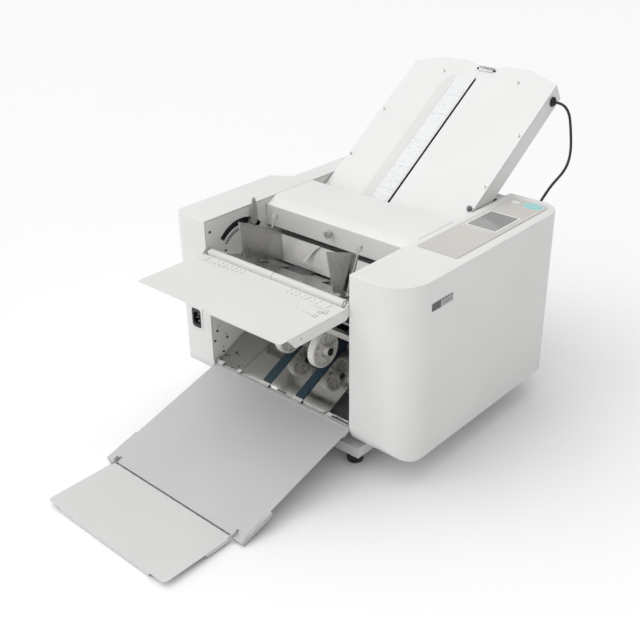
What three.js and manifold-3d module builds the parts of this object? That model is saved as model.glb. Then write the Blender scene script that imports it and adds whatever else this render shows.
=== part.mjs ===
// Desktop paper folding machine with a friction feeder, a motor-set buckle plate,
// four fold rollers, a belt delivery and a folding receiving tray.
// Millimetres, +X to the operator's right, +Y to the rear, +Z up, origin on the desk.
import * as THREE from 'three';
import { mergeVertices } from 'three/addons/utils/BufferGeometryUtils.js';
import Module from 'manifold-3d';

const wasm = await Module();
wasm.setup();

// ---------------------------------------------------------------- driving dimensions
const GAP = 0.3; // air between touching pieces
const SHEET = 1.5; // thickness of the folded sheet parts

// paper path and covers
const BAY = 170; // half width of the paper path between the side covers
const COVER_TOP = 380;
const COVER_BOTTOM = 50;
const COVER_DEPTH = 475;
const COVER_WALL = 3;
const RIGHT_OUT = 285; // outer face of the control side
const LEFT_OUT = 254; // outer face of the inlet side
const LEFT_REAR_OUT = 214; // the inlet side is slimmer behind its step
const LEFT_STEP = 254; // where that step starts, from the front
const CORNER_RIGHT = 60; // upright front corner of the control side
const CORNER_LEFT = 22;
const CORNER_REAR = 25;
const CORNER_REAR_RIGHT = 45;
const BELLY = 45; // rounding of the covers' lower edges
const PLATE = 2; // side plate thickness

// base
const BASE_HALF = 187;
const BASE_FRONT = 5;
const BASE_REAR = 462;
const BASE_BOTTOM = 30;
const FOOT_RADIUS = 16;

// feed side
const TABLE_TOP = 321;
const TABLE_FRONT = -157;
const BAR_Y = 3;
const BAR_Z = 322;
const BAR_RADIUS = 8;
const BAR_HALF = 159; // half length of the bar between its pins
const DECK_SLOPE = Math.tan(THREE.MathUtils.degToRad(20));
const GUIDE_X = 105; // guides set for A4
const FEED_Y = 122;
const FEED_Z = 254;
const FEED_RADIUS = 24;
const LEVER_Y = 90;
const LEVER_Z = 289;
const LEVER_RADIUS = 66;
const LEVER_ANGLE = 28.7; // degrees behind the upright

// fold unit
const ROLLER_RADIUS = 17;
const ROLLER_PITCH = 34.6; // distance between neighbouring roller axes
const ROLLER_2 = [172, 255];
const ROLLER_ANGLES = { 1: 90, 3: -20, 4: -100 }; // where each roller sits around roller 2
const GEAR_TEETH = 18;
const PINION_TEETH = 12;
const GEAR_LEFT = -184;
const GEAR_RIGHT = -176;
const MOTOR_RADIUS = 28;

// upper fold plate, in its own sloping frame: y up the slope, z off its face
const FOLD_SLOPE = 33.4;
const FOLD_Y = 250;
const FOLD_Z = 313;
const FOLD_HALF = 167;
const FOLD_LOW = -40;
const FOLD_SHOULDER = 445;
const FOLD_HIGH = 468;
const FOLD_DEPTH = 38;
const SLIT_X = -6;
const SLIT_END = 425;
const STOPPER_S = 142; // rest place of the stopper up the slope
const EXIT_S = 418; // where the cable leaves the side of the plate

// lower fold plate
const LOWER_SLOPE = -36.87;
const LOWER_Y = 190;
const LOWER_Z = 212;
const LOWER_LENGTH = 225;

// delivery, in its own sloping frame
const BELT_SLOPE = 26;
const BELT_Y = 17;
const BELT_Z = 92;
const BELT_X = 41;
const BELT_WIDTH = 19;
const BELT_OUTER = 13.3;
const BELT_INNER = 11.3;
const BELT_PITCH = 150;
const WHEEL_Y = 80;
const WHEEL_Z = 162.4;
const WHEEL_RADIUS = 35;
const WHEEL_WIDTH = 16;
const ARM_Y = 140;
const ARM_Z = 192;

// receiving tray
const TRAY_Y = 12;
const TRAY_Z = 90;
const TRAY_SLOPE = 16;
const TRAY_HALF = 169.5;
const TRAY_END = -278;
const EXTENSION_Y = -262;
const EXTENSION_Z = 11.2;
const EXTENSION_HALF = 150;
const EXTENSION_LENGTH = 138;

// ---------------------------------------------------------------- colours
const PAINT = {
  cover: [0xe9e8e4, 0.5, 0.0],
  tray: [0xc9c9c8, 0.55, 0.1],
  inner: [0xdcdbd7, 0.5, 0.0],
  satin: [0x8c8884, 0.35, 0.9],
  steel: [0xb5b5b4, 0.3, 1.0],
  frame: [0x9b9b99, 0.5, 0.4],
  rubber: [0x1c1c1d, 0.8, 0.0],
  nylon: [0xe4e1d8, 0.45, 0.0],
  belt: [0x234150, 0.7, 0.0],
  black: [0x161617, 0.5, 0.0],
  overlay: [0xcfccc6, 0.45, 0.0],
  screen: [0x7d7d7b, 0.15, 0.0],
  key: [0x8fd3cf, 0.4, 0.0],
};

const machine = new THREE.Group();
machine.name = 'paper_folding_machine';

// ---------------------------------------------------------------- solids
// a geometry as a manifold solid with its faces pointing out
function solid(geometry) {
  const bare = geometry.clone();
  for (const name of Object.keys(bare.attributes)) {
    if (name !== 'position') bare.deleteAttribute(name);
  }
  const merged = mergeVertices(bare, 1e-4);
  const points = merged.attributes.position.array;
  const corners = [];
  let volume = 0;
  const a = new THREE.Vector3();
  const b = new THREE.Vector3();
  const c = new THREE.Vector3();
  for (let i = 0; i < merged.index.count; i += 3) {
    const [p, q, r] = [0, 1, 2].map((k) => merged.index.getX(i + k));
    if (p === q || q === r || r === p) continue;
    corners.push(p, q, r);
    a.fromArray(points, 3 * p);
    b.fromArray(points, 3 * q);
    c.fromArray(points, 3 * r);
    volume += a.dot(b.cross(c));
  }
  if (volume < 0) corners.reverse();
  const mesh = new wasm.Mesh({
    numProp: 3,
    vertProperties: Float32Array.from(points),
    triVerts: Uint32Array.from(corners),
  });
  return new wasm.Manifold(mesh);
}

// back from a manifold solid to a geometry
function skin(body) {
  const mesh = body.getMesh();
  const geometry = new THREE.BufferGeometry();
  geometry.setAttribute('position', new THREE.BufferAttribute(mesh.vertProperties.slice(), 3));
  geometry.setIndex(new THREE.BufferAttribute(mesh.triVerts.slice(), 1));
  const faceted = geometry.toNonIndexed();
  faceted.computeVertexNormals();
  return faceted;
}

const cut = (from, ...tools) => skin(tools.reduce((left, tool) => left.subtract(solid(tool)), solid(from)));
const join = (first, ...rest) => skin(rest.reduce((sum, next) => sum.add(solid(next)), solid(first)));
const common = (first, second) => skin(solid(first).intersect(solid(second)));

function piece(name, geometry, look, parent = machine) {
  const [color, roughness, metalness] = PAINT[look];
  const material = new THREE.MeshStandardMaterial({ color, roughness, metalness });
  const mesh = new THREE.Mesh(geometry, material);
  mesh.name = name;
  parent.add(mesh);
  return mesh;
}

// a group whose frame is turned about X by an angle in degrees
function tilted(y, z, degrees, parent = machine) {
  const group = new THREE.Group();
  group.position.set(0, y, z);
  group.rotation.x = THREE.MathUtils.degToRad(degrees);
  parent.add(group);
  return group;
}

// ---------------------------------------------------------------- shapes
function box(x0, x1, y0, y1, z0, z1) {
  const geometry = new THREE.BoxGeometry(x1 - x0, y1 - y0, z1 - z0);
  return geometry.translate((x0 + x1) / 2, (y0 + y1) / 2, (z0 + z1) / 2);
}

function outline(points, holes = []) {
  const shape = new THREE.Shape(points.map(([u, v]) => new THREE.Vector2(u, v)));
  shape.holes = holes;
  return shape;
}

function roundHole(u, v, radius) {
  return new THREE.Path().absarc(u, v, radius, 0, 2 * Math.PI, true);
}

// rectangle with its own radius at each corner: low-left, low-right, high-right, high-left
function rounded(u0, u1, v0, v1, radii) {
  const [a, b, c, d] = Array.isArray(radii) ? radii : [radii, radii, radii, radii];
  const shape = new THREE.Shape();
  const quarter = Math.PI / 2;
  shape.moveTo(u0 + a, v0);
  shape.lineTo(u1 - b, v0);
  if (b) shape.absarc(u1 - b, v0 + b, b, -quarter, 0);
  shape.lineTo(u1, v1 - c);
  if (c) shape.absarc(u1 - c, v1 - c, c, 0, quarter);
  shape.lineTo(u0 + d, v1);
  if (d) shape.absarc(u0 + d, v1 - d, d, quarter, 2 * quarter);
  shape.lineTo(u0, v0 + a);
  if (a) shape.absarc(u0 + a, v0 + a, a, 2 * quarter, 3 * quarter);
  return shape;
}

const BASIS_X = new THREE.Matrix4().set(0, 0, 1, 0, 1, 0, 0, 0, 0, 1, 0, 0, 0, 0, 0, 1);

function alongZ(shape, z0, z1, curveSegments = 5) {
  const settings = { depth: z1 - z0, bevelEnabled: false, curveSegments };
  return new THREE.ExtrudeGeometry(shape, settings).translate(0, 0, z0);
}

// outline given in (y, z), run along X
function alongX(shape, x0, x1, curveSegments = 5) {
  return alongZ(shape, 0, x1 - x0, curveSegments).applyMatrix4(BASIS_X).translate(x0, 0, 0);
}

// outline given in (x, z), run along Y
function alongY(shape, y0, y1, curveSegments = 5) {
  return alongZ(shape, 0, y1 - y0, curveSegments).rotateX(Math.PI / 2).translate(0, y1, 0);
}

// turned part with its axis along X through (y, z); profile is [x, radius] from end to end
function turned(profile, y, z, segments = 24) {
  const closed = [[profile[0][0], 0], ...profile, [profile[profile.length - 1][0], 0]];
  const points = closed.map(([x, radius]) => new THREE.Vector2(radius, x));
  const geometry = new THREE.LatheGeometry(points, segments);
  return geometry.rotateZ(-Math.PI / 2).translate(0, y, z);
}

function rod(x0, x1, radius, y, z, segments = 24) {
  return turned([[x0, radius], [x1, radius]], y, z, segments);
}

const polar = (centre, radius, degrees) => {
  const angle = THREE.MathUtils.degToRad(degrees);
  return [centre[0] + radius * Math.cos(angle), centre[1] + radius * Math.sin(angle)];
};

// points along an arc, in a given number of steps
function arc(centre, radius, from, to, steps) {
  const step = (to - from) / steps;
  return Array.from({ length: steps + 1 }, (_, i) => polar(centre, radius, from + step * i));
}

// ---------------------------------------------------------------- roller positions
const rollers = { 2: ROLLER_2 };
for (const [number, angle] of Object.entries(ROLLER_ANGLES)) {
  rollers[number] = polar(ROLLER_2, ROLLER_PITCH, angle);
}
const GEAR_PITCH = ROLLER_PITCH / 2;
const TOOTH_MODULE = (2 * GEAR_PITCH) / GEAR_TEETH;
const PINION_PITCH = (TOOTH_MODULE * PINION_TEETH) / 2;
const PINION_ANGLE = -12;
const motorAxis = polar(rollers[3], GEAR_PITCH + PINION_PITCH, PINION_ANGLE);

const beltSin = Math.sin(THREE.MathUtils.degToRad(BELT_SLOPE));
const beltCos = Math.cos(THREE.MathUtils.degToRad(BELT_SLOPE));
const onBelt = (along, off) => [
  BELT_Y + along * beltCos - off * beltSin,
  BELT_Z + along * beltSin + off * beltCos,
];
const beltFront = onBelt(0, -BELT_OUTER);
const beltRear = onBelt(BELT_PITCH, -BELT_OUTER);

// ---------------------------------------------------------------- base and feet
function baseFrame() {
  const outer = box(-BASE_HALF, BASE_HALF, BASE_FRONT, BASE_REAR, BASE_BOTTOM, COVER_BOTTOM - GAP);
  const half = BASE_HALF - 2;
  const inner = box(-half, half, BASE_FRONT + 2, BASE_REAR - 2, BASE_BOTTOM + 2, COVER_BOTTOM + 5);
  const vents = [];
  for (let i = 0; i < 6; i += 1) {
    const y = 150 + 30 * i;
    vents.push(box(-60, 60, y, y + 8, BASE_BOTTOM - 1, BASE_BOTTOM + 5));
  }
  piece('base_frame', cut(outer, inner, ...vents), 'frame');
}

function feet() {
  const places = { front_left: [-1, 33], front_right: [1, 33], rear_left: [-1, 434], rear_right: [1, 434] };
  const top = BASE_BOTTOM - GAP;
  const profile = [[0, 0], [13, 0], [14.5, 1.5], [FOOT_RADIUS, top - 6], [FOOT_RADIUS, top], [0, top]];
  for (const [place, [side, y]] of Object.entries(places)) {
    const foot = new THREE.LatheGeometry(profile.map(([r, z]) => new THREE.Vector2(r, z)), 24);
    foot.rotateX(Math.PI / 2).translate(side * 157, y, 0);
    piece(`foot_${place}`, foot, 'rubber');
  }
}

// ---------------------------------------------------------------- side plates
const SCREW_HOLES = [[6, 356], [42, 308], [14, 160], [30, 138], [22, 112]];

function shaftHoles() {
  const holes = [
    roundHole(FEED_Y, FEED_Z, 4.5),
    roundHole(TRAY_Y, TRAY_Z, 3.1),
    roundHole(ARM_Y, ARM_Z, 4.4),
  ];
  for (const [y, z] of Object.values(rollers)) holes.push(roundHole(y, z, 5.5));
  for (const [y, z] of [beltFront, beltRear]) holes.push(roundHole(y, z, 4.4));
  for (const [y, z] of SCREW_HOLES) holes.push(roundHole(y + 6, z, 2));
  return holes;
}

function arcSlot(inner, outer, from, to) {
  const slot = new THREE.Path();
  const angle = (degrees) => Math.PI / 2 - THREE.MathUtils.degToRad(degrees);
  slot.absarc(LEVER_Y, LEVER_Z, outer, angle(from), angle(to), true);
  slot.absarc(LEVER_Y, LEVER_Z, inner, angle(to), angle(from), false);
  slot.closePath();
  return slot;
}

function sidePlates() {
  const inset = COVER_WALL + GAP;
  const corner = BELLY - inset;
  for (const side of ['left', 'right']) {
    const radii = [corner, corner, 2, 2];
    const face = rounded(inset, COVER_DEPTH - inset, COVER_BOTTOM + inset, COVER_TOP - inset, radii);
    face.holes = shaftHoles();
    if (side === 'left') {
      face.holes.push(arcSlot(LEVER_RADIUS - 9, LEVER_RADIUS + 4, -49, 50));
      face.holes.push(roundHole(LEVER_Y, LEVER_Z, 4.5));
    }
    const near = BAY + GAP;
    const x0 = side === 'left' ? -near - PLATE : near;
    piece(`${side}_side_plate`, alongX(face, x0, x0 + PLATE, 6), 'inner');
  }
}

function tieBar() {
  const bar = rounded(60, 72, 213, 225, 1.5);
  bar.holes = [rounded(62, 70, 215, 223, 0.5)];
  piece('front_tie_bar', alongX(bar, -BAY, BAY, 2), 'inner');
}

// ---------------------------------------------------------------- covers
// plan of a side cover on the +X side of the machine, open towards the paper path
function coverPlan(out, corner, rearCorner, margin, rearOut, step) {
  const shape = new THREE.Shape();
  const open = margin ? BAY - 5 : BAY;
  const front = margin;
  const rear = COVER_DEPTH - margin;
  const outer = out - margin;
  const rearOuter = rearOut - margin;
  const bend = corner - margin;
  const rearBend = rearCorner - margin;
  shape.moveTo(open, front);
  shape.lineTo(outer - bend, front);
  shape.absarc(outer - bend, front + bend, bend, -Math.PI / 2, 0);
  if (step) {
    shape.lineTo(outer, step - margin / 2);
    shape.lineTo(rearOuter, step + 26 - margin / 2);
  }
  shape.lineTo(rearOuter, rear - rearBend);
  shape.absarc(rearOuter - rearBend, rear - rearBend, rearBend, 0, Math.PI / 2);
  shape.lineTo(open, rear);
  return shape;
}

function coverSide(margin) {
  const [low, high] = [COVER_BOTTOM + margin, COVER_TOP - margin];
  return rounded(margin, COVER_DEPTH - margin, low, high, [BELLY - margin, BELLY - margin, 0, 0]);
}

function coverShell(out, corner, rearCorner, rearOut, step) {
  const block = (margin) => {
    const plan = coverPlan(out, corner, rearCorner, margin, rearOut, step);
    const walls = alongZ(plan, COVER_BOTTOM - 5, COVER_TOP + 5, 8);
    return common(walls, alongX(coverSide(margin), BAY - 10, out + 5, 7));
  };
  return cut(block(0), block(COVER_WALL));
}

const KEY_X = 241;
const KEY_Y = 438;
const KEY_HALF_X = 16;
const KEY_HALF_Y = 12;

function oval(halfX, halfY) {
  return new THREE.Shape().absellipse(KEY_X, KEY_Y, halfX, halfY, 0, 2 * Math.PI, false, 0);
}

const SOCKET_X = 226;
const SOCKET_Z = 369;
const INLET_X = -210;
const INLET_Z = 172;

function inletOutline(halfX, halfZ, corner) {
  return rounded(INLET_X - halfX, INLET_X + halfX, INLET_Z - halfZ, INLET_Z + halfZ, corner);
}

function covers() {
  const keyHole = alongZ(oval(KEY_HALF_X + 0.5, KEY_HALF_Y + 0.5), COVER_TOP - 8, COVER_TOP + 5, 12);
  const ring = new THREE.Shape().absarc(SOCKET_X, SOCKET_Z, 6, 0, 2 * Math.PI);
  const cableHole = alongY(ring, COVER_DEPTH - 10, COVER_DEPTH + 5);
  const right = coverShell(RIGHT_OUT, CORNER_RIGHT, CORNER_REAR_RIGHT, RIGHT_OUT, 0);
  piece('right_cover', cut(right, keyHole, cableHole), 'cover');

  const left = coverShell(LEFT_OUT, CORNER_LEFT, CORNER_REAR, LEFT_REAR_OUT, LEFT_STEP).scale(-1, 1, 1);
  const inletHole = alongY(inletOutline(12.5, 20, 6.3), -5, 10, 4);
  piece('left_cover', cut(left, inletHole), 'cover');
}

function rearCover() {
  const panel = box(-BAY + 0.5, BAY - 0.5, 464, 466, 52, 376);
  const lip = box(-BAY + 0.5, BAY - 0.5, 440, 465, 374.5, 376);
  const vents = [];
  for (let row = 0; row < 8; row += 1) {
    for (const x of [-120, -60, 0, 60]) {
      vents.push(box(x, x + 45, 460, 470, 110 + 12 * row, 114 + 12 * row));
    }
  }
  piece('rear_cover', cut(join(panel, lip), ...vents), 'cover');
}

function topCover() {
  const half = BAY - 0.6;
  const wall = 2.5;
  const outer = outline([[158, 327], [288, 366], [288, 380], [186, 380], [158, 368]]);
  const inner = outline([
    [158 + wall, 310],
    [288 - wall, 349],
    [288 - wall, 380 - wall],
    [186 + wall / 4, 380 - wall],
    [158 + wall, 368 - wall / 1.5],
  ]);
  const shell = cut(alongX(outer, -half, half), alongX(inner, -half + wall, half - wall));
  piece('top_cover', shell, 'cover');
}

// a knurled disc around the Z axis
function knurled(radius, z0, z1, teeth = 24) {
  const points = [];
  for (let i = 0; i < 2 * teeth; i += 1) {
    const reach = i % 2 ? radius : radius - 0.6;
    points.push(polar([0, 0], reach, (180 * i) / teeth));
  }
  return alongZ(outline(points), z0, z1);
}

function separatorKnob() {
  const neck = new THREE.CylinderGeometry(3, 3, 8, 16).rotateX(Math.PI / 2).translate(0, 0, 3.9);
  const knob = join(knurled(7, 6, 13), neck);
  knob.rotateX(Math.PI / 2).translate(-6, 158 - 0.2, 352);
  piece('separator_knob', knob, 'nylon');
}

// ---------------------------------------------------------------- control side
function controls() {
  const low = COVER_TOP + GAP;
  const high = low + 0.9;
  const overlay = rounded(184, 266, 158, 456, [4, 4, 14, 9]);
  overlay.holes = [rounded(194.7, 252.8, 291.7, 369.3, 2), oval(KEY_HALF_X + 0.4, KEY_HALF_Y + 0.4)];
  piece('control_overlay', alongZ(overlay, low, high, 12), 'overlay');
  piece('touch_screen', alongZ(rounded(195, 252.5, 292, 369, 2), low, high - 0.2), 'screen');
  piece('start_key', alongZ(oval(KEY_HALF_X, KEY_HALF_Y), COVER_TOP - 4, COVER_TOP + 2, 12), 'key');
  const badge = rounded(66, 123, 326, 339, 1);
  piece('badge_plate', alongX(badge, RIGHT_OUT + GAP, RIGHT_OUT + 1.1), 'black');
}

function powerInlet() {
  const [x, z] = [INLET_X, INLET_Z];
  const shell = alongY(inletOutline(12.2, 19.7, 6), -0.6, 27, 4);
  const recess = alongY(rounded(x - 8.2, x + 8.2, z - 12.2, z + 12.2, [5, 1, 1, 5]), -5, 16);
  const pins = [];
  for (const step of [-1, 0, 1]) {
    const row = step === 0 ? x - 2 : x + 2;
    pins.push(box(row - 2, row + 2, 4, 18, z + 7 * step - 1, z + 7 * step + 1));
  }
  piece('power_inlet', join(cut(shell, recess), ...pins), 'black');
}

// ---------------------------------------------------------------- feed table
function feedTable() {
  const half = BAY - GAP;
  const top = box(-half, half, TABLE_FRONT, -BAR_RADIUS + 1, TABLE_TOP - SHEET, TABLE_TOP);
  const hem = box(4, half - 5, TABLE_FRONT, TABLE_FRONT + SHEET, TABLE_TOP - 4, TABLE_TOP - 0.5);
  const flange = new THREE.Shape();
  flange.moveTo(TABLE_FRONT + 14, TABLE_TOP - 0.5);
  flange.lineTo(TABLE_FRONT + 32, TABLE_TOP - 21);
  flange.lineTo(-6, TABLE_TOP - 21);
  flange.lineTo(BAR_Y + 8, BAR_Z - 6);
  flange.absarc(BAR_Y, BAR_Z, 9, -0.6, 2.2);
  flange.lineTo(-12, TABLE_TOP - 0.5);
  flange.holes = [roundHole(BAR_Y, BAR_Z, 3.4), roundHole(TABLE_FRONT + 45, TABLE_TOP - 10, 1.6)];
  const sides = [alongX(flange, half - SHEET, half), alongX(flange, -half, -half + SHEET)];
  const notch = box(-5, 4, TABLE_FRONT - 1, TABLE_FRONT + 4, TABLE_TOP - 3, TABLE_TOP + 1);
  piece('feed_table', cut(join(top, hem, ...sides), notch), 'tray');
}

function crossbar() {
  const end = BAY - 0.1;
  const profile = [[-end, 3], [-BAR_HALF, 3], [-BAR_HALF, BAR_RADIUS]];
  profile.push([-2, BAR_RADIUS], [-2, BAR_RADIUS - 1], [0, BAR_RADIUS - 1], [0, BAR_RADIUS]);
  profile.push([BAR_HALF, BAR_RADIUS], [BAR_HALF, 3], [end, 3]);
  piece('table_crossbar', turned(profile, BAR_Y, BAR_Z), 'cover');
}

// ---------------------------------------------------------------- feeder
const deckHeight = (y) => 316.5 - DECK_SLOPE * (y - 12);

function feedDeck() {
  const end = 136;
  const rib = (y) => {
    const crest = deckHeight(y) + 2.5;
    return [[y, deckHeight(y)], [y, crest], [y + 1.5, crest], [y + 1.5, deckHeight(y + 1.5)]];
  };
  const top = [[12, deckHeight(12)], ...rib(16), ...rib(27), [end, deckHeight(end)]];
  const under = [[end, deckHeight(end) - SHEET], [13.5, deckHeight(13.5) - SHEET], [13.5, 300], [12, 300]];
  const sheet = alongX(outline([...top, ...under]), -BAY + 4, BAY - 4);
  const windows = [-50, 50].map((x) => box(x - 28, x + 28, FEED_Y - 27, end + 5, 240, 320));
  piece('feed_deck', cut(sheet, ...windows), 'satin');
}

function feedRoller() {
  const profile = [[-190, 4], [-76, 4], [-76, 9], [-75, FEED_RADIUS], [-25, FEED_RADIUS], [-25, 9]];
  profile.push([25, 9], [25, FEED_RADIUS], [75, FEED_RADIUS], [76, 9], [76, 4], [173, 4]);
  piece('feed_roller', turned(profile, FEED_Y, FEED_Z, 32), 'rubber');
}

function stackStop() {
  const curve = new THREE.QuadraticBezierCurve(
    new THREE.Vector2(139, 273),
    new THREE.Vector2(141, 300),
    new THREE.Vector2(156, 323),
  );
  const front = curve.getPoints(8).map((p) => [p.x, p.y]);
  const back = front.map(([y, z]) => [y + 1.8, z - 0.4]).reverse();
  piece('stack_stop_plate', alongX(outline([...front, ...back]), -150, 150), 'nylon');

  const finger = new THREE.Shape();
  finger.moveTo(153, 326);
  finger.lineTo(139, 324);
  finger.quadraticCurveTo(136, 303, 123, 293);
  finger.lineTo(125, 290.5);
  finger.quadraticCurveTo(140, 297, 153, 322);
  piece('separator_finger', alongX(finger, -50, -40), 'frame');
}

function pressureLever() {
  const centre = [LEVER_Y, LEVER_Z];
  const tip = polar(centre, LEVER_RADIUS - 2, 90 - LEVER_ANGLE);
  const across = THREE.MathUtils.degToRad(180 - LEVER_ANGLE);
  const arm = new THREE.Shape();
  arm.absarc(...centre, 8, across, across + Math.PI, false);
  arm.absarc(...tip, 5, across - Math.PI, across, false);
  const inside = alongX(arm, -176, -173.2);
  const pivot = rod(-175, -168.5, 4, ...centre, 20);
  const pin = rod(-175, -164, 3.2, ...tip, 16);
  const edge = [[4.5, -5], [8, 8], [8, 18], [4.5, 40], [2.5, 47]];
  const leaf = [...edge, ...edge.map(([y, z]) => [-y, z]).reverse()];
  const handle = alongX(outline(leaf.map(([y, z]) => [tip[0] + y, tip[1] + z])), -167, -163.5);
  piece('pressure_lever', join(inside, pivot, pin, handle), 'nylon');
}

// side guides stand across the deck on a foot that carries the lock post
const POST_RISE = [32, 73]; // from the foot to the knob
const POST_LEAN = Math.atan2(POST_RISE[0], POST_RISE[1]);
const POST_OFFSET = 6;
const POST_Y = { left: 88, right: 63 };

const postZ = (y) => 301 - DECK_SLOPE * (y - 63);

function guide(side, sign, face) {
  const x0 = sign * GUIDE_X - 1;
  const y = POST_Y[side];
  const z = postZ(y);
  const wall = alongX(outline(face), x0, x0 + 2);
  const tongue = outline([[y - 11, z + 2], [y + 5, z - 3.8], [y + 5, z + 11], [y - 11, z + 17]]);
  const ledge = outline([[y - 13, z + 2.4], [y + 11, z - 6.3], [y + 11, z - 4.3], [y - 13, z + 4.4]]);
  const reach = sign * (GUIDE_X + POST_OFFSET + 7);
  const foot = alongX(ledge, Math.min(x0 + 1, reach), Math.max(x0 + 1, reach));
  return piece(`${side}_paper_guide`, join(wall, alongX(tongue, x0, x0 + 2), foot), 'satin');
}

function guides() {
  guide('left', -1, [[33, 317], [24, 389], [130, 342], [134, 278]]);
  guide('right', 1, [[36, 313], [19, 394], [90, 367], [68, 300]]);
  const length = Math.hypot(...POST_RISE);
  for (const [side, sign] of [['left', -1], ['right', 1]]) {
    const post = new THREE.CylinderGeometry(2.2, 2.2, length - 2, 12);
    post.rotateX(Math.PI / 2).translate(0, 0, length / 2 + 1);
    const knob = join(knurled(6, length - 4, length + 5, 18), post);
    knob.translate(0, 0, 2.4).rotateX(-POST_LEAN);
    knob.translate(sign * (GUIDE_X + POST_OFFSET), POST_Y[side], postZ(POST_Y[side]));
    piece(`${side}_guide_knob`, knob, 'steel');
  }
}

// ---------------------------------------------------------------- fold unit
function foldRollers() {
  for (const number of [1, 2, 3, 4]) {
    const [y, z] = rollers[number];
    const profile = [[-186, 5], [-160, 5], [-160, ROLLER_RADIUS], [160, ROLLER_RADIUS], [160, 5], [173, 5]];
    piece(`fold_roller_${number}`, turned(profile, y, z, 32), 'rubber');
  }
}

// straight-flanked spur gear with its first tooth at the given angle
function gear(teeth, centre, phase, bore) {
  const pitch = (TOOTH_MODULE * teeth) / 2;
  const step = 360 / teeth;
  const marks = [[-0.31, -1.25], [-0.12, 0.75], [0.12, 0.75], [0.31, -1.25]];
  const points = [];
  for (let tooth = 0; tooth < teeth; tooth += 1) {
    for (const [turn, height] of marks) {
      points.push(polar(centre, pitch + height * TOOTH_MODULE, phase + step * (tooth + turn)));
    }
  }
  return alongX(outline(points, [roundHole(...centre, bore)]), GEAR_LEFT, GEAR_RIGHT, 8);
}

// phase that puts a gap of a mating gear opposite a tooth of its driver
function meshing(phase, teeth, mateTeeth, angle) {
  const rolled = ((angle - phase) * teeth) / mateTeeth;
  return angle + 180 + rolled + 180 / mateTeeth;
}

function gears() {
  const phases = { 2: 0 };
  for (const [number, angle] of Object.entries(ROLLER_ANGLES)) {
    phases[number] = meshing(phases[2], GEAR_TEETH, GEAR_TEETH, angle);
  }
  for (const number of [1, 2, 3, 4]) {
    piece(`fold_gear_${number}`, gear(GEAR_TEETH, rollers[number], phases[number], 5.3), 'black');
  }
  const pinionPhase = meshing(phases[3], GEAR_TEETH, PINION_TEETH, PINION_ANGLE);
  piece('motor_pinion', gear(PINION_TEETH, motorAxis, pinionPhase, 3.3), 'steel');
}

function motor() {
  const [y, z] = motorAxis;
  const profile = [[-234, MOTOR_RADIUS - 2], [-232, MOTOR_RADIUS], [-193, MOTOR_RADIUS]];
  profile.push([-193, 10], [-189, 10], [-189, 3], [-177, 3]);
  const can = turned(profile, y, z, 32);
  const posts = [-60, 0, 60].map((angle) => rod(-196, -172.7, 3.5, ...polar(motorAxis, 33, angle), 12));
  const flange = alongX(outline(arc([y, z], 38, 0, 348, 29)), -196, -193);
  piece('main_motor', join(can, flange, ...posts), 'frame');
}

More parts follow.
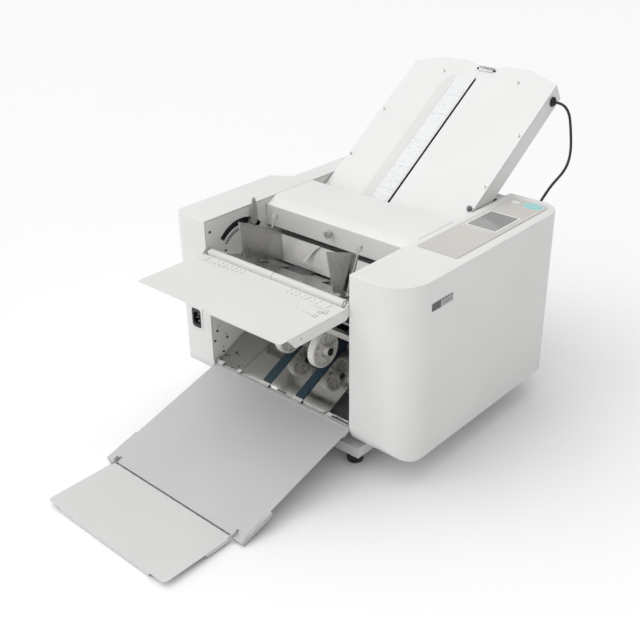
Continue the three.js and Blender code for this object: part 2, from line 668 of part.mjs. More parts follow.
function foldPlate() {
  const plate = tilted(FOLD_Y, FOLD_Z, FOLD_SLOPE);
  // outline of the plate, with its chamfered shoulders and the dip at the middle
  const edge = (margin) => {
    const half = FOLD_HALF - margin;
    const shape = new THREE.Shape();
    shape.moveTo(-half, FOLD_LOW);
    shape.lineTo(half, FOLD_LOW);
    shape.lineTo(half, FOLD_SHOULDER - margin);
    shape.lineTo(100, FOLD_HIGH - margin);
    shape.lineTo(45, FOLD_HIGH - margin);
    shape.bezierCurveTo(30, FOLD_HIGH - margin, 30, FOLD_HIGH - 8 - margin, 18, FOLD_HIGH - 8 - margin);
    shape.lineTo(-18, FOLD_HIGH - 8 - margin);
    shape.bezierCurveTo(-30, FOLD_HIGH - 8 - margin, -30, FOLD_HIGH - margin, -45, FOLD_HIGH - margin);
    shape.lineTo(-100, FOLD_HIGH - margin);
    shape.lineTo(-half, FOLD_SHOULDER - margin);
    return shape;
  };
  const block = alongZ(edge(0), -FOLD_DEPTH, -SHEET - GAP, 8);
  const upper = alongZ(edge(SHEET), -5, 5, 8).translate(0, -1, 0);
  const lower = alongZ(edge(SHEET), -FOLD_DEPTH - 5, -6.5, 8).translate(0, -1, 0);
  const slot = box(SLIT_X - 2, SLIT_X + 2, 60, SLIT_END + 5, -10, 0);
  const side = rod(FOLD_HALF - 5, FOLD_HALF + 5, 6.4, EXIT_S, -FOLD_DEPTH / 2, 20);
  const mouth = box(-FOLD_HALF + SHEET, FOLD_HALF - SHEET, FOLD_LOW - 5, FOLD_LOW + 5, -5, -1);
  piece('upper_fold_plate', cut(block, upper, lower, slot, side, mouth), 'tray', plate);

  // two sheets close the face and leave the stopper's slit, which the right one ends at the top
  const face = (x0, x1, low) => {
    return common(alongZ(edge(0), -SHEET, 0, 8), box(x0, x1, low, FOLD_HIGH + 1, -3, 3));
  };
  const left = face(-FOLD_HALF - 1, SLIT_X - 2.3, FOLD_LOW - 1);
  const right = face(SLIT_X + 2.3, FOLD_HALF + 1, FOLD_LOW - 1);
  const bridge = face(SLIT_X - 2, SLIT_X + 5, SLIT_END);
  piece('fold_plate_left_sheet', left, 'cover', plate);
  piece('fold_plate_right_sheet', join(right, bridge), 'cover', plate);

  const stop = box(-150, 150, STOPPER_S - 6, STOPPER_S + 6, -4.7, -1.8);
  const neck = box(SLIT_X - 1.5, SLIT_X + 1.5, STOPPER_S - 4, STOPPER_S + 4, -12, 2.2);
  const carriage = box(SLIT_X - 20, SLIT_X + 20, STOPPER_S - 14, STOPPER_S + 14, -20, -7.2);
  piece('fold_stopper', join(stop, neck, carriage), 'steel', plate);

  const base = [[446, GAP], [459, GAP], [459, 2], [454, 2]];
  const hook = outline([...base, [454, 8], [452.5, 8], [452.5, 2], [446, 2]]);
  piece('fold_plate_catch', alongX(hook, -12, 20), 'steel', plate);

  const collar = [[FOLD_HALF - 4, 6], [FOLD_HALF + GAP, 6], [FOLD_HALF + GAP, 9.5]];
  collar.push([FOLD_HALF + 3, 9.5], [FOLD_HALF + 6, 6.5]);
  piece('cable_grommet', turned(collar, EXIT_S, -FOLD_DEPTH / 2, 20), 'rubber', plate);
}

function lowerFoldPlate() {
  const plate = tilted(LOWER_Y, LOWER_Z, LOWER_SLOPE);
  const half = 160;
  const sheets = box(-half, half, 0, LOWER_LENGTH, -3, 3);
  const rails = [-half, half - 6].map((x) => box(x, x + 6, 0, LOWER_LENGTH, -8, 8));
  const channel = box(-half + 6, half - 6, -5, LOWER_LENGTH - SHEET, -1.5, 1.5);
  piece('lower_fold_plate', cut(join(sheets, ...rails), channel), 'steel', plate);
}

// ---------------------------------------------------------------- delivery
function delivery() {
  const slope = tilted(BELT_Y, BELT_Z, BELT_SLOPE);
  const loop = (radius) => {
    const shape = new THREE.Shape();
    shape.absarc(0, -BELT_OUTER, radius, Math.PI / 2, (3 * Math.PI) / 2, false);
    shape.absarc(BELT_PITCH, -BELT_OUTER, radius, -Math.PI / 2, Math.PI / 2, false);
    return shape;
  };
  const pulleys = [];
  for (const side of ['left', 'right']) {
    const x = side === 'left' ? -BELT_X : BELT_X;
    const ring = loop(BELT_OUTER);
    ring.holes = [loop(BELT_INNER)];
    piece(`delivery_belt_${side}`, alongX(ring, x - BELT_WIDTH / 2, x + BELT_WIDTH / 2, 12), 'belt', slope);
    const [near, far] = [x - BELT_WIDTH / 2, x + BELT_WIDTH / 2];
    pulleys.push([near, 4], [near, BELT_INNER - 0.5], [x, BELT_INNER - 0.3], [far, BELT_INNER - 0.5], [far, 4]);
  }
  const shaft = [[-173, 4], ...pulleys, [173, 4]];
  piece('delivery_front_roller', turned(shaft, 0, -BELT_OUTER), 'steel', slope);
  piece('delivery_drive_roller', turned(shaft, BELT_PITCH, -BELT_OUTER), 'steel', slope);

  const sheet = alongZ(rounded(-166, 112, -9, 172, [10, 14, 0, 0]), -1 - SHEET, -1, 8);
  const lip = box(-152, 94, -9, -7.5, -9, -1.2);
  const slots = [-BELT_X, BELT_X].map((x) => box(x - 10.7, x + 10.7, -20, 166, -12, 2));
  // the cross beam passes through the belt loops and carries the sheet
  const hollow = outline([[62, -5], [88, -5], [88, -20], [62, -20]]);
  const beam = alongX(outline([[60, -2.4], [60, -22], [90, -22], [90, -2.4]], [hollow]), -BAY, BAY);
  piece('delivery_deck', join(cut(join(sheet, lip), ...slots), beam), 'satin', slope);
}

function deliveryWheel(name, x) {
  const outward = Math.sign(x);
  const [x0, x1] = [x - WHEEL_WIDTH / 2, x + WHEEL_WIDTH / 2];
  const centre = [WHEEL_Y, WHEEL_Z];
  // twelve ribs on both sides of a thin web, between the tyre and the hub
  const ribs = 12;
  const pockets = [];
  for (let i = 0; i < ribs; i += 1) {
    const [from, to] = [(360 * i) / ribs, (360 * (i + 1)) / ribs];
    const tyre = arc(centre, 29.5, from + 2.6, to - 2.6, 3);
    const pocket = outline([...tyre, ...arc(centre, 14, to - 5.5, from + 5.5, 2)]);
    pockets.push(alongX(pocket, x0 - 1, x - 1.5), alongX(pocket, x + 1.5, x1 + 1));
  }
  const disc = alongX(outline(arc(centre, WHEEL_RADIUS, 0, 360 * (1 - 1 / 48), 47)), x0, x1);
  const face = cut(disc, ...pockets);
  const [hub0, hub1] = outward > 0 ? [x0 - 2, x1 + 20] : [x0 - 20, x1 + 2];
  const hub = rod(hub0, hub1, 10.5, WHEEL_Y, WHEEL_Z, 24);
  const bore = rod(x0 - 30, x1 + 30, 5.3, WHEEL_Y, WHEEL_Z, 20);
  piece(name, cut(join(face, hub), bore), 'nylon');
}

function wheels() {
  deliveryWheel('delivery_wheel_left', -BELT_X);
  deliveryWheel('delivery_wheel_right', BELT_X);
  piece('wheel_axle', rod(-BELT_X - 20, BELT_X + 20, 5, WHEEL_Y, WHEEL_Z, 20), 'steel');

  const arm = new THREE.Shape();
  const lean = Math.atan2(ARM_Z - WHEEL_Z, ARM_Y - WHEEL_Y);
  arm.absarc(ARM_Y, ARM_Z, 10, lean - Math.PI / 2, lean + Math.PI / 2, false);
  arm.absarc(WHEEL_Y, WHEEL_Z, 10, lean + Math.PI / 2, lean + (3 * Math.PI) / 2, false);
  arm.holes = [roundHole(WHEEL_Y, WHEEL_Z, 5.3), roundHole(ARM_Y, ARM_Z, 4.3)];
  piece('wheel_arm', alongX(arm, -13, 13, 12), 'frame');
  piece('arm_rod', rod(-173, 173, 4, ARM_Y, ARM_Z, 20), 'steel');
}

// ---------------------------------------------------------------- receiving tray
function receivingTray() {
  const tray = tilted(TRAY_Y, TRAY_Z, TRAY_SLOPE);
  const top = -2;
  const sheet = alongZ(rounded(-TRAY_HALF, TRAY_HALF, TRAY_END + 8, -10, 0), top - SHEET, top);
  const inner = EXTENSION_HALF - 3;
  const front = box(-inner, inner, TRAY_END - 5, TRAY_END + 20, top - SHEET, top);
  const hem = box(-TRAY_HALF, TRAY_HALF, -11.5, -10, top - 6, top + 2.4);
  const parts = [front, hem];
  for (const side of [-1, 1]) {
    const ear = new THREE.Shape();
    ear.moveTo(-34, top - 0.5);
    ear.lineTo(-26, top - 7);
    ear.lineTo(0, -6);
    ear.absarc(0, 0, 6, -Math.PI / 2, Math.PI / 2, false);
    ear.lineTo(-10, 6);
    ear.lineTo(-16, top - 0.5);
    const [e0, e1] = side < 0 ? [-168.5, -167] : [167, 168.5];
    parts.push(alongX(ear, e0, e1));
    parts.push(side < 0 ? rod(-172, -168, 2.7, 0, 0, 16) : rod(168, 172, 2.7, 0, 0, 16));
    // corner box that carries the extension
    const [c0, c1] = side < 0 ? [-173, -151] : [151, 173];
    const wall = rounded(TRAY_END - 8, -215, top - 8.5, top, [2, 6, 2, 0]);
    const skirt = side < 0 ? [c0, c0 + SHEET] : [c1 - SHEET, c1];
    parts.push(alongX(wall, ...skirt));
    parts.push(box(Math.min(c0, c1), Math.max(c0, c1), TRAY_END - 8, TRAY_END + 12, top - SHEET, top));
    parts.push(box(Math.min(c0, c1), Math.max(c0, c1), TRAY_END - 8, TRAY_END - 6.5, top - 8.5, top - 0.5));
    parts.push(box(side < 0 ? c0 : 169, side < 0 ? -169 : c1, TRAY_END, -215, top - SHEET, top));
    const cheek = rounded(TRAY_END - 8, TRAY_END + 4, top - 8, 5, [1, 1, 4, 4]);
    parts.push(side < 0 ? alongX(cheek, -152.5, -151) : alongX(cheek, 151, 152.5));
  }
  for (const [x, width] of [[-150, 8], [-108, 8], [-BELT_X, 20], [BELT_X, 20], [118, 9]]) {
    parts.push(box(x - width / 2, x + width / 2, -11.5, -10, top - 2, top + 7));
  }
  piece('receiving_tray', join(sheet, ...parts), 'tray', tray);
}

function trayExtension() {
  const extension = tilted(EXTENSION_Y, EXTENSION_Z, 0);
  const top = -0.6;
  const end = -EXTENSION_LENGTH;
  const half = EXTENSION_HALF;
  const sheet = alongZ(rounded(-half, half, end, -1.5, [8, 8, 0, 0]), top - SHEET, top);
  const lip = outline([[-118, top - 0.5], [-110, top - 9], [110, top - 9], [118, top - 0.5]]);
  const flange = outline([[-58, top - 0.5], [-52, top - 7.5], [-3, top - 7.5], [-3, top - 0.5]]);
  const parts = [alongY(lip, end, end + SHEET)];
  for (const side of [-1, 1]) {
    const [x0, x1] = side < 0 ? [-half, -half + SHEET] : [half - SHEET, half];
    const tip = side * (half + 0.7);
    const root = side * (half - 1);
    parts.push(alongX(flange, x0, x1));
    parts.push(alongX(rounded(-9, 3.2, top - 5, 3.2, [1, 3, 3, 1]), x0, x1));
    parts.push(rod(Math.min(tip, root), Math.max(tip, root), 1.5, 0, 0, 12));
  }
  piece('tray_extension', join(sheet, ...parts), 'tray', extension);
}

// ---------------------------------------------------------------- cable to the plate motor
const CABLE_RADIUS = 2.6;

function cable() {
  const slope = THREE.MathUtils.degToRad(FOLD_SLOPE);
  const exitY = FOLD_Y + EXIT_S * Math.cos(slope) + (FOLD_DEPTH / 2) * Math.sin(slope);
  const exitZ = FOLD_Z + EXIT_S * Math.sin(slope) - (FOLD_DEPTH / 2) * Math.cos(slope);
  const route = [
    [FOLD_HALF + 6.6, exitY, exitZ],
    [181, exitY, exitZ - 0.2],
    [188, exitY, exitZ - 1.5],
    [194.3, exitY + 0.3, exitZ - 4.7],
    [199.7, exitY + 0.7, exitZ - 10],
    [204, exitY + 1, exitZ - 17],
    [207, exitY + 1.2, exitZ - 25.5],
    [209.5, exitY + 1, exitZ - 36],
    [212, exitY + 0.3, exitZ - 47.5],
    [214.5, exitY - 1, exitZ - 59.5],
    [217.5, exitY - 3.5, exitZ - 72],
    [220.5, exitY - 8, exitZ - 84.5],
    [223.5, exitY - 15.5, exitZ - 96.5],
    [226, exitY - 27, exitZ - 107.5],
    [227.5, exitY - 42, exitZ - 116.5],
    [228, exitY - 60, exitZ - 123.5],
    [228, exitY - 78, exitZ - 130],
    [227.7, exitY - 94.5, exitZ - 138.5],
    [227, exitY - 108, exitZ - 148],
    [SOCKET_X, COVER_DEPTH + 16.5, SOCKET_Z + 2.2],
    [SOCKET_X, COVER_DEPTH + 8.9, SOCKET_Z],
  ];
  const points = route.map((p) => new THREE.Vector3(...p));
  const curve = new THREE.CatmullRomCurve3(points, false, 'centripetal');
  const section = outline(arc([0, 0], CABLE_RADIUS, 0, 315, 7));
  const settings = { steps: 60, extrudePath: curve, bevelEnabled: false };
  piece('plate_cable', new THREE.ExtrudeGeometry(section, settings), 'rubber');

  const socket = [[0, 0], [5.7, 0], [5.7, 5.3], [9, 5.3], [9, 9], [6.5, 13], [0, 13]];
  const gland = new THREE.LatheGeometry(socket.map(([r, h]) => new THREE.Vector2(r, h)), 20);
  gland.translate(SOCKET_X, COVER_DEPTH - 5, SOCKET_Z);
  piece('cable_gland', gland, 'rubber');
}

baseFrame();
feet();
sidePlates();
tieBar();
covers();
rearCover();
topCover();
separatorKnob();
controls();
powerInlet();
feedTable();
crossbar();
feedDeck();
feedRoller();
stackStop();
pressureLever();
guides();
foldRollers();
gears();
motor();
foldPlate();
lowerFoldPlate();
delivery();
wheels();
receivingTray();
trayExtension();
cable();

// the origin sits on the desk under the middle of the machine, its cable left aside
machine.updateMatrixWorld(true);
const bounds = new THREE.Box3();
machine.traverse((mesh) => {
  if (mesh.isMesh && mesh.name !== 'plate_cable') bounds.expandByObject(mesh, true);
});
const middle = bounds.getCenter(new THREE.Vector3());
machine.position.set(-middle.x, -middle.y, -bounds.min.z);
machine.updateMatrixWorld(true);

export default machine;
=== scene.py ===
"""The looks of a desktop paper folding machine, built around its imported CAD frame.

Lengths are written in millimetres in the machine's own frame (X 0 in the middle of the paper path,
Y 0 at the covers' front, Z 0 on the desk) and turned into the row frame, in metres, by at().
"""

import math
import random

import bmesh
import bpy
from mathutils import Matrix, Vector


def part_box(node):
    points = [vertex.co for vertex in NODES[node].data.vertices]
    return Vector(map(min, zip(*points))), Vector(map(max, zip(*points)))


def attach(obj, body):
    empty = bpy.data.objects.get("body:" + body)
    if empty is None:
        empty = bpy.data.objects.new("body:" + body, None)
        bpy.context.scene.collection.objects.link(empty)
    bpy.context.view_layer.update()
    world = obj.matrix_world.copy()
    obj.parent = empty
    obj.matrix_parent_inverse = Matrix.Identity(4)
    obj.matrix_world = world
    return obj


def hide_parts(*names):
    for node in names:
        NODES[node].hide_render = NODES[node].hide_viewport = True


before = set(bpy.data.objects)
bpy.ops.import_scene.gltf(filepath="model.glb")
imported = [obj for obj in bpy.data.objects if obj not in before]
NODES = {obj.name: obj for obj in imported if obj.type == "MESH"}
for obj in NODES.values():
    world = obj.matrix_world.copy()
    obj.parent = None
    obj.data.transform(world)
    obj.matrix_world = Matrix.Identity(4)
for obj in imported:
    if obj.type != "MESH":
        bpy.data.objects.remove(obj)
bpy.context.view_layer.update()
MM = 0.001

# the middle of the paper path and the covers' front, read from the frame
table_low, table_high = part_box("feed_table")
ORIGIN = Vector(((table_low.x + table_high.x) / 2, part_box("right_cover")[0].y, 0))


def at(x, y, z):
    """A point given in millimetres in the machine's frame, in the row frame."""
    return ORIGIN + Vector((x, y, z)) * MM


def slope_frame(y, z, degrees):
    """The frame of a sloping part: its Y runs up the slope and its Z stands off its face."""
    return Matrix.Translation(at(0, y, z)) @ Matrix.Rotation(math.radians(degrees), 4, "X")


ROW = Matrix.Translation(ORIGIN)
FOLD = slope_frame(250, 313, 33.4)
DECK = slope_frame(17, 92, 26)
TRAY = slope_frame(12, 90, 16)

# heights and places that several pieces share, in millimetres
INNER_WALL = 170.2  # X of the side plates' inner faces, either side
TABLE_TOP = 321.0
PANEL_TOP = 381.2
BADGE_FACE = 286.1  # X of the badge plate's face
HINGE_BAR = (3, 322)  # Y and Z of the hinge bar's axis
AXLE = (80, 162.4)  # Y and Z of the wheels' axis
PRINT = 0.08  # how far ink stands off the table
CORNER = math.radians(32)  # an edge that turns by more than this is rounded


# ------------------------------------------------------------------ camera
def camera():
    yaw, pitch, roll = (math.radians(a) for a in (42.13, 26.85, -0.78))
    back = Vector((
        math.sin(yaw) * math.cos(pitch),
        -math.cos(yaw) * math.cos(pitch),
        math.sin(pitch),
    ))
    level = Vector((math.cos(yaw), math.sin(yaw), 0))
    rise = back.cross(level)
    right = level * math.cos(roll) + rise * math.sin(roll)
    up = rise * math.cos(roll) - level * math.sin(roll)
    data = bpy.data.cameras.new("camera")
    data.lens = 53.9
    data.shift_y = -0.031
    data.clip_end = 20
    cam = bpy.data.objects.new("camera", data)
    facing = Matrix((right, up, back)).transposed().to_4x4()
    cam.matrix_world = Matrix.Translation(at(1051, -1043, 1026)) @ facing
    bpy.context.scene.collection.objects.link(cam)
    bpy.context.scene.camera = cam


# ------------------------------------------------------------------ materials
class Graph:
    """A material's node graph, with short calls for what the surfaces share."""

    def __init__(self, name):
        self.material = bpy.data.materials.new(name)
        self.material.use_nodes = True
        self.nodes = self.material.node_tree.nodes
        self.links = self.material.node_tree.links
        self.nodes.clear()
        self.shader = self.nodes.new("ShaderNodeBsdfPrincipled")
        output = self.nodes.new("ShaderNodeOutputMaterial")
        self.links.new(self.shader.outputs[0], output.inputs[0])
        self.place = self.nodes.new("ShaderNodeTexCoord").outputs["Object"]
        self.normal = None

    def set(self, **values):
        """Values of the shader that are the same all over."""
        for name, value in values.items():
            self.shader.inputs[name.replace("_", " ")].default_value = value

    def node(self, kind, inputs=(), **settings):
        made = self.nodes.new(kind)
        for name, value in settings.items():
            setattr(made, name, value)
        for key, value in dict(inputs).items():
            if isinstance(value, bpy.types.NodeSocket):
                self.links.new(value, made.inputs[key])
            else:
                made.inputs[key].default_value = value
        return made

    def stretched(self, x, y, z):
        """The place on the object, scaled along each axis."""
        return self.node("ShaderNodeMapping", {"Vector": self.place, "Scale": (x, y, z)}).outputs[0]

    def noise(self, scale, detail=3.0, rough=0.5, place=None):
        inputs = {"Vector": place or self.place, "Scale": scale}
        inputs.update({"Detail": detail, "Roughness": rough})
        return self.node("ShaderNodeTexNoise", inputs).outputs["Fac"]

    def between(self, factor, low, high, start=0.3, end=0.7):
        """A number or colour that runs from low to high as factor runs from start to end."""
        if isinstance(low, (int, float)):
            inputs = {"Value": factor, 1: start, 2: end, 3: low, 4: high}
            return self.node("ShaderNodeMapRange", inputs).outputs[0]
        ramp = self.node("ShaderNodeValToRGB", {"Fac": factor})
        ramp.color_ramp.elements[0].position = start
        ramp.color_ramp.elements[1].position = end
        ramp.color_ramp.elements[0].color = (*low, 1)
        ramp.color_ramp.elements[1].color = (*high, 1)
        return ramp.outputs["Color"]

    def bump(self, height, depth, strength=1.0):
        inputs = {"Height": height, "Distance": depth, "Strength": strength}
        if self.normal:
            inputs["Normal"] = self.normal
        self.normal = self.node("ShaderNodeBump", inputs).outputs[0]
        self.links.new(self.normal, self.shader.inputs["Normal"])

    def feed(self, name, socket):
        self.links.new(socket, self.shader.inputs[name])


def shade(colour, factor):
    return tuple(min(1.0, c * factor) for c in colour)


def enamel(name, colour, rough, grain=1400, depth=0.00002):
    """Baked enamel: orange peel, a slight drift of tone and fingermarks in the gloss."""
    graph = Graph(name)
    drift = graph.noise(7, 2)
    graph.feed("Base Color", graph.between(drift, shade(colour, 0.975), shade(colour, 1.015)))
    marks = graph.noise(38, 5, 0.6)
    graph.feed("Roughness", graph.between(marks, rough - 0.06, rough + 0.07))
    graph.bump(graph.noise(grain, 2), depth, 0.35)
    graph.bump(graph.noise(grain / 9, 2), depth * 3, 0.12)
    graph.set(Coat_Weight=0.12, Coat_Roughness=0.25, IOR=1.5)
    return graph.material


def powder(name, colour, rough=0.5):
    """Powder coat: a fine closed texture with tiny darker pits."""
    graph = Graph(name)
    pits = graph.noise(2600, 3, 0.7)
    drift = graph.noise(5, 2)
    tone = graph.between(drift, shade(colour, 0.965), shade(colour, 1.02))
    speck = graph.node(
        "ShaderNodeMix",
        {0: graph.between(pits, 0.16, 0.0, 0.3, 0.45), 6: tone, 7: (*shade(colour, 0.72), 1)},
        data_type="RGBA",
    )
    graph.feed("Base Color", speck.outputs[2])
    graph.feed("Roughness", graph.between(graph.noise(60, 4), rough - 0.05, rough + 0.08))
    graph.bump(pits, 0.00006, 0.45)
    return graph.material


def sheet_steel(name, colour, rough, along=(1, 1, 1)):
    """Rolled stainless sheet: fine lines one way, and a cloudy film that softens the gloss."""
    graph = Graph(name)
    lines = graph.noise(900, 4, 0.7, graph.stretched(*along))
    clouds = graph.noise(16, 4, 0.62)
    tone = graph.between(clouds, shade(colour, 0.9), shade(colour, 1.06))
    graph.feed("Base Color", tone)
    film = graph.between(clouds, 0.02, 0.12)
    smear = graph.node("ShaderNodeMath", {0: film, 1: lines}, operation="MULTIPLY")
    total = graph.node("ShaderNodeMath", {0: smear.outputs[0], 1: rough}, operation="ADD")
    graph.feed("Roughness", total.outputs[0])
    graph.bump(lines, 0.000004, 0.12)
    graph.set(Metallic=1.0)
    return graph.material


def turned_steel(name, colour, rough):
    """Turned or plated steel with faint tool rings and a worn sheen."""
    graph = Graph(name)
    rings = graph.noise(1800, 2, 0.5, graph.stretched(1, 0.05, 0.05))
    worn = graph.noise(90, 3)
    graph.feed("Base Color", graph.between(worn, shade(colour, 0.85), shade(colour, 1.1)))
    graph.feed("Roughness", graph.between(rings, rough - 0.05, rough + 0.1))
    graph.bump(rings, 0.00001, 0.4)
    graph.set(Metallic=1.0)
    return graph.material


def moulded(name, colour, rough, soft=0.0, grain=1100, coat=0.0):
    """Moulded plastic: spark grain, faint flow clouds, and light in its depth if soft."""
    graph = Graph(name)
    clouds = graph.noise(30, 3)
    graph.feed("Base Color", graph.between(clouds, shade(colour, 0.93), shade(colour, 1.05)))
    graph.feed("Roughness", graph.between(graph.noise(140, 4), rough - 0.05, rough + 0.08))
    graph.bump(graph.noise(grain, 3), 0.00003, 0.3)
    graph.set(Coat_Weight=coat, Coat_Roughness=0.08)
    if soft:
        graph.set(Subsurface_Weight=soft, Subsurface_Scale=0.5)
        graph.set(Subsurface_Radius=(0.004, 0.003, 0.002))
    return graph.material


def rubber(name, colour, rough=0.72):
    """Moulded rubber with bloom in patches and a fine dull grain."""
    graph = Graph(name)
    bloom = graph.noise(45, 4, 0.6)
    graph.feed("Base Color", graph.between(bloom, colour, shade(colour, 1.9)))
    graph.feed("Roughness", graph.between(bloom, rough - 0.1, rough + 0.1))
    graph.bump(graph.noise(1900, 3), 0.00005, 0.4)
    return graph.material


def belt_textile(name, colour):
    """Textile-backed belt: warp and weft at half a millimetre, its gloss varying in patches."""
    graph = Graph(name)
    warp = graph.node(
        "ShaderNodeTexWave",
        {"Vector": graph.place, "Scale": 320.0, "Distortion": 0.6},
        bands_direction="X",
    ).outputs["Fac"]
    weft = graph.noise(900, 2, 0.5, graph.stretched(0.12, 1, 1))
    weave = graph.node("ShaderNodeMath", {0: warp, 1: weft}, operation="MULTIPLY").outputs[0]
    graph.feed("Base Color", graph.between(weave, shade(colour, 0.6), shade(colour, 1.5), 0.1, 0.6))
    graph.feed("Roughness", graph.between(graph.noise(60, 4), 0.42, 0.62))
    graph.bump(weave, 0.00008, 0.5)
    return graph.material


def printed_film(name, colour):
    """Polycarbonate film with a velvet grain."""
    graph = Graph(name)
    drift = graph.noise(9, 2)
    graph.feed("Base Color", graph.between(drift, shade(colour, 0.97), shade(colour, 1.02)))
    graph.feed("Roughness", graph.between(graph.noise(240, 4), 0.34, 0.46))
    graph.bump(graph.noise(2400, 2), 0.00002, 0.3)
    graph.set(Coat_Weight=0.15, Coat_Roughness=0.3)
    return graph.material


def screen_film(name, colour):
    """A switched-off touch screen: a smooth face with finger smears over a dull grey panel."""
    graph = Graph(name)
    smears = graph.noise(25, 3)
    graph.feed("Base Color", graph.between(smears, shade(colour, 0.92), shade(colour, 1.06)))
    graph.feed("Roughness", graph.between(graph.noise(120, 5, 0.7), 0.1, 0.22))
    graph.set(Coat_Weight=0.6, Coat_Roughness=0.06, IOR=1.52)
    return graph.material


def ink(name, colour):
    """Screen-printed ink, slightly broken by the texture under it."""
    graph = Graph(name)
    gaps = graph.noise(1500, 3, 0.7)
    graph.feed("Base Color", graph.between(gaps, colour, shade(colour, 1.6), 0.35, 0.75))
    graph.set(Roughness=0.55)
    graph.bump(graph.noise(2400, 2), 0.00002, 0.3)
    return graph.material


WHITE = (0.785, 0.78, 0.765)
LOOKS = {
    "cover": enamel("cover_enamel", WHITE, 0.42),
    "crossbar": enamel("crossbar_enamel", (0.66, 0.655, 0.64), 0.3),
    "panel": enamel("panel_enamel", (0.72, 0.715, 0.695), 0.45),
    "wall": enamel("wall_enamel", (0.88, 0.875, 0.855), 0.5),
    "sheet": enamel("fold_sheet_enamel", (0.765, 0.765, 0.752), 0.38),
    "tray": powder("tray_powder", (0.53, 0.53, 0.53), 0.46),
    "extension": powder("extension_powder", (0.66, 0.655, 0.645), 0.46),
    "table": powder("table_powder", (0.74, 0.735, 0.715), 0.5),
    "frame": enamel("frame_enamel", (0.62, 0.62, 0.615), 0.45),
    "deck": sheet_steel("deck_steel", (0.52, 0.515, 0.505), 0.07, (0.04, 1, 1)),
    "guide": sheet_steel("guide_steel", (0.46, 0.455, 0.44), 0.24, (1, 1, 0.04)),
    "steel": turned_steel("plated_steel", (0.58, 0.58, 0.575), 0.25),
    "satin": turned_steel("satin_zinc", (0.74, 0.735, 0.725), 0.5),
    "dark_steel": turned_steel("blackened_steel", (0.09, 0.09, 0.09), 0.4),
    "nylon": moulded("nylon_moulding", (0.83, 0.815, 0.78), 0.42, soft=0.06),
    "claw": moulded("claw_moulding", (0.50, 0.495, 0.47), 0.3, soft=0.1, coat=0.3),
    "lever": moulded("lever_moulding", (0.43, 0.425, 0.405), 0.35, soft=0.15, coat=0.2),
    "back_sheet": moulded("polished_nylon_sheet", (0.66, 0.65, 0.62), 0.25, coat=0.3),
    "gear": moulded("gear_moulding", (0.03, 0.03, 0.03), 0.4),
    "arm": moulded("arm_moulding", (0.16, 0.16, 0.165), 0.45),
    "knob": moulded("knob_moulding", (0.42, 0.41, 0.4), 0.4),
    "rubber": rubber("black_rubber", (0.012, 0.012, 0.012)),
    "roller": rubber("ground_roller_rubber", (0.05, 0.05, 0.05), 0.6),
    "jacket": rubber("cable_jacket", (0.014, 0.014, 0.014), 0.5),
    "belt": belt_textile("belt_textile", (0.018, 0.048, 0.07)),
    "film": printed_film("overlay_film", (0.60, 0.58, 0.545)),
    "screen": screen_film("screen_film", (0.26, 0.26, 0.255)),
    "key": moulded("key_moulding", (0.38, 0.72, 0.70), 0.35, grain=1500, coat=0.2),
    "badge": moulded("badge_moulding", (0.028, 0.028, 0.03), 0.3, coat=0.4),
    "badge_grey": moulded("badge_grey_moulding", (0.30, 0.30, 0.30), 0.35, coat=0.3),
    "inlet": moulded("inlet_moulding", (0.014, 0.014, 0.014), 0.35),
    "ink": ink("grey_ink", (0.11, 0.11, 0.11)),
    "pale_ink": ink("pale_ink", (0.34, 0.34, 0.34)),
    "white_ink": ink("white_ink", (0.78, 0.78, 0.76)),
    "panel_ink": ink("panel_ink", (0.70, 0.69, 0.66)),
    "faint_ink": ink("faint_ink", (0.60, 0.595, 0.58)),
    "scale": enamel("scale_film", (0.765, 0.775, 0.785), 0.3),
    # painted shade: a darker warm film that stands for the shade in the recessed channel beside the
    # fold scale
    "scale_channel_shade": enamel("scale_channel_painted_shade", (0.70, 0.695, 0.678), 0.42),
    "key_field": ink("key_ink", (0.36, 0.70, 0.68)),
    "sheet_screw": turned_steel("nickel_screws", (0.62, 0.61, 0.59), 0.28),
    "foam": rubber("black_foam", (0.016, 0.016, 0.016), 0.85),
}


# ------------------------------------------------------------------ CAD nodes that stay
def soften(node, look, width=0.6, segments=2):
    """Gives a CAD node its material, and rounds its sharp edges with modifiers."""
    thing = NODES[node]
    thing.data.materials.clear()
    thing.data.materials.append(LOOKS[look])
    thing.data.polygons.foreach_set("use_smooth", [True] * len(thing.data.polygons))
    weld = thing.modifiers.new("weld", "WELD")
    weld.merge_threshold = 0.00002
    if width:
        flat = thing.modifiers.new("flat_faces", "DECIMATE")
        flat.decimate_type = "DISSOLVE"
        flat.angle_limit = math.radians(0.6)
        bevel = thing.modifiers.new("edges", "BEVEL")
        bevel.width = width * MM
        bevel.segments = segments
        bevel.limit_method = "ANGLE"
        bevel.angle_limit = CORNER
        bevel.use_clamp_overlap = False
        bevel.harden_normals = True
        bevel.miter_outer = "MITER_ARC"
    normals = thing.modifiers.new("normals", "WEIGHTED_NORMAL")
    normals.keep_sharp = True


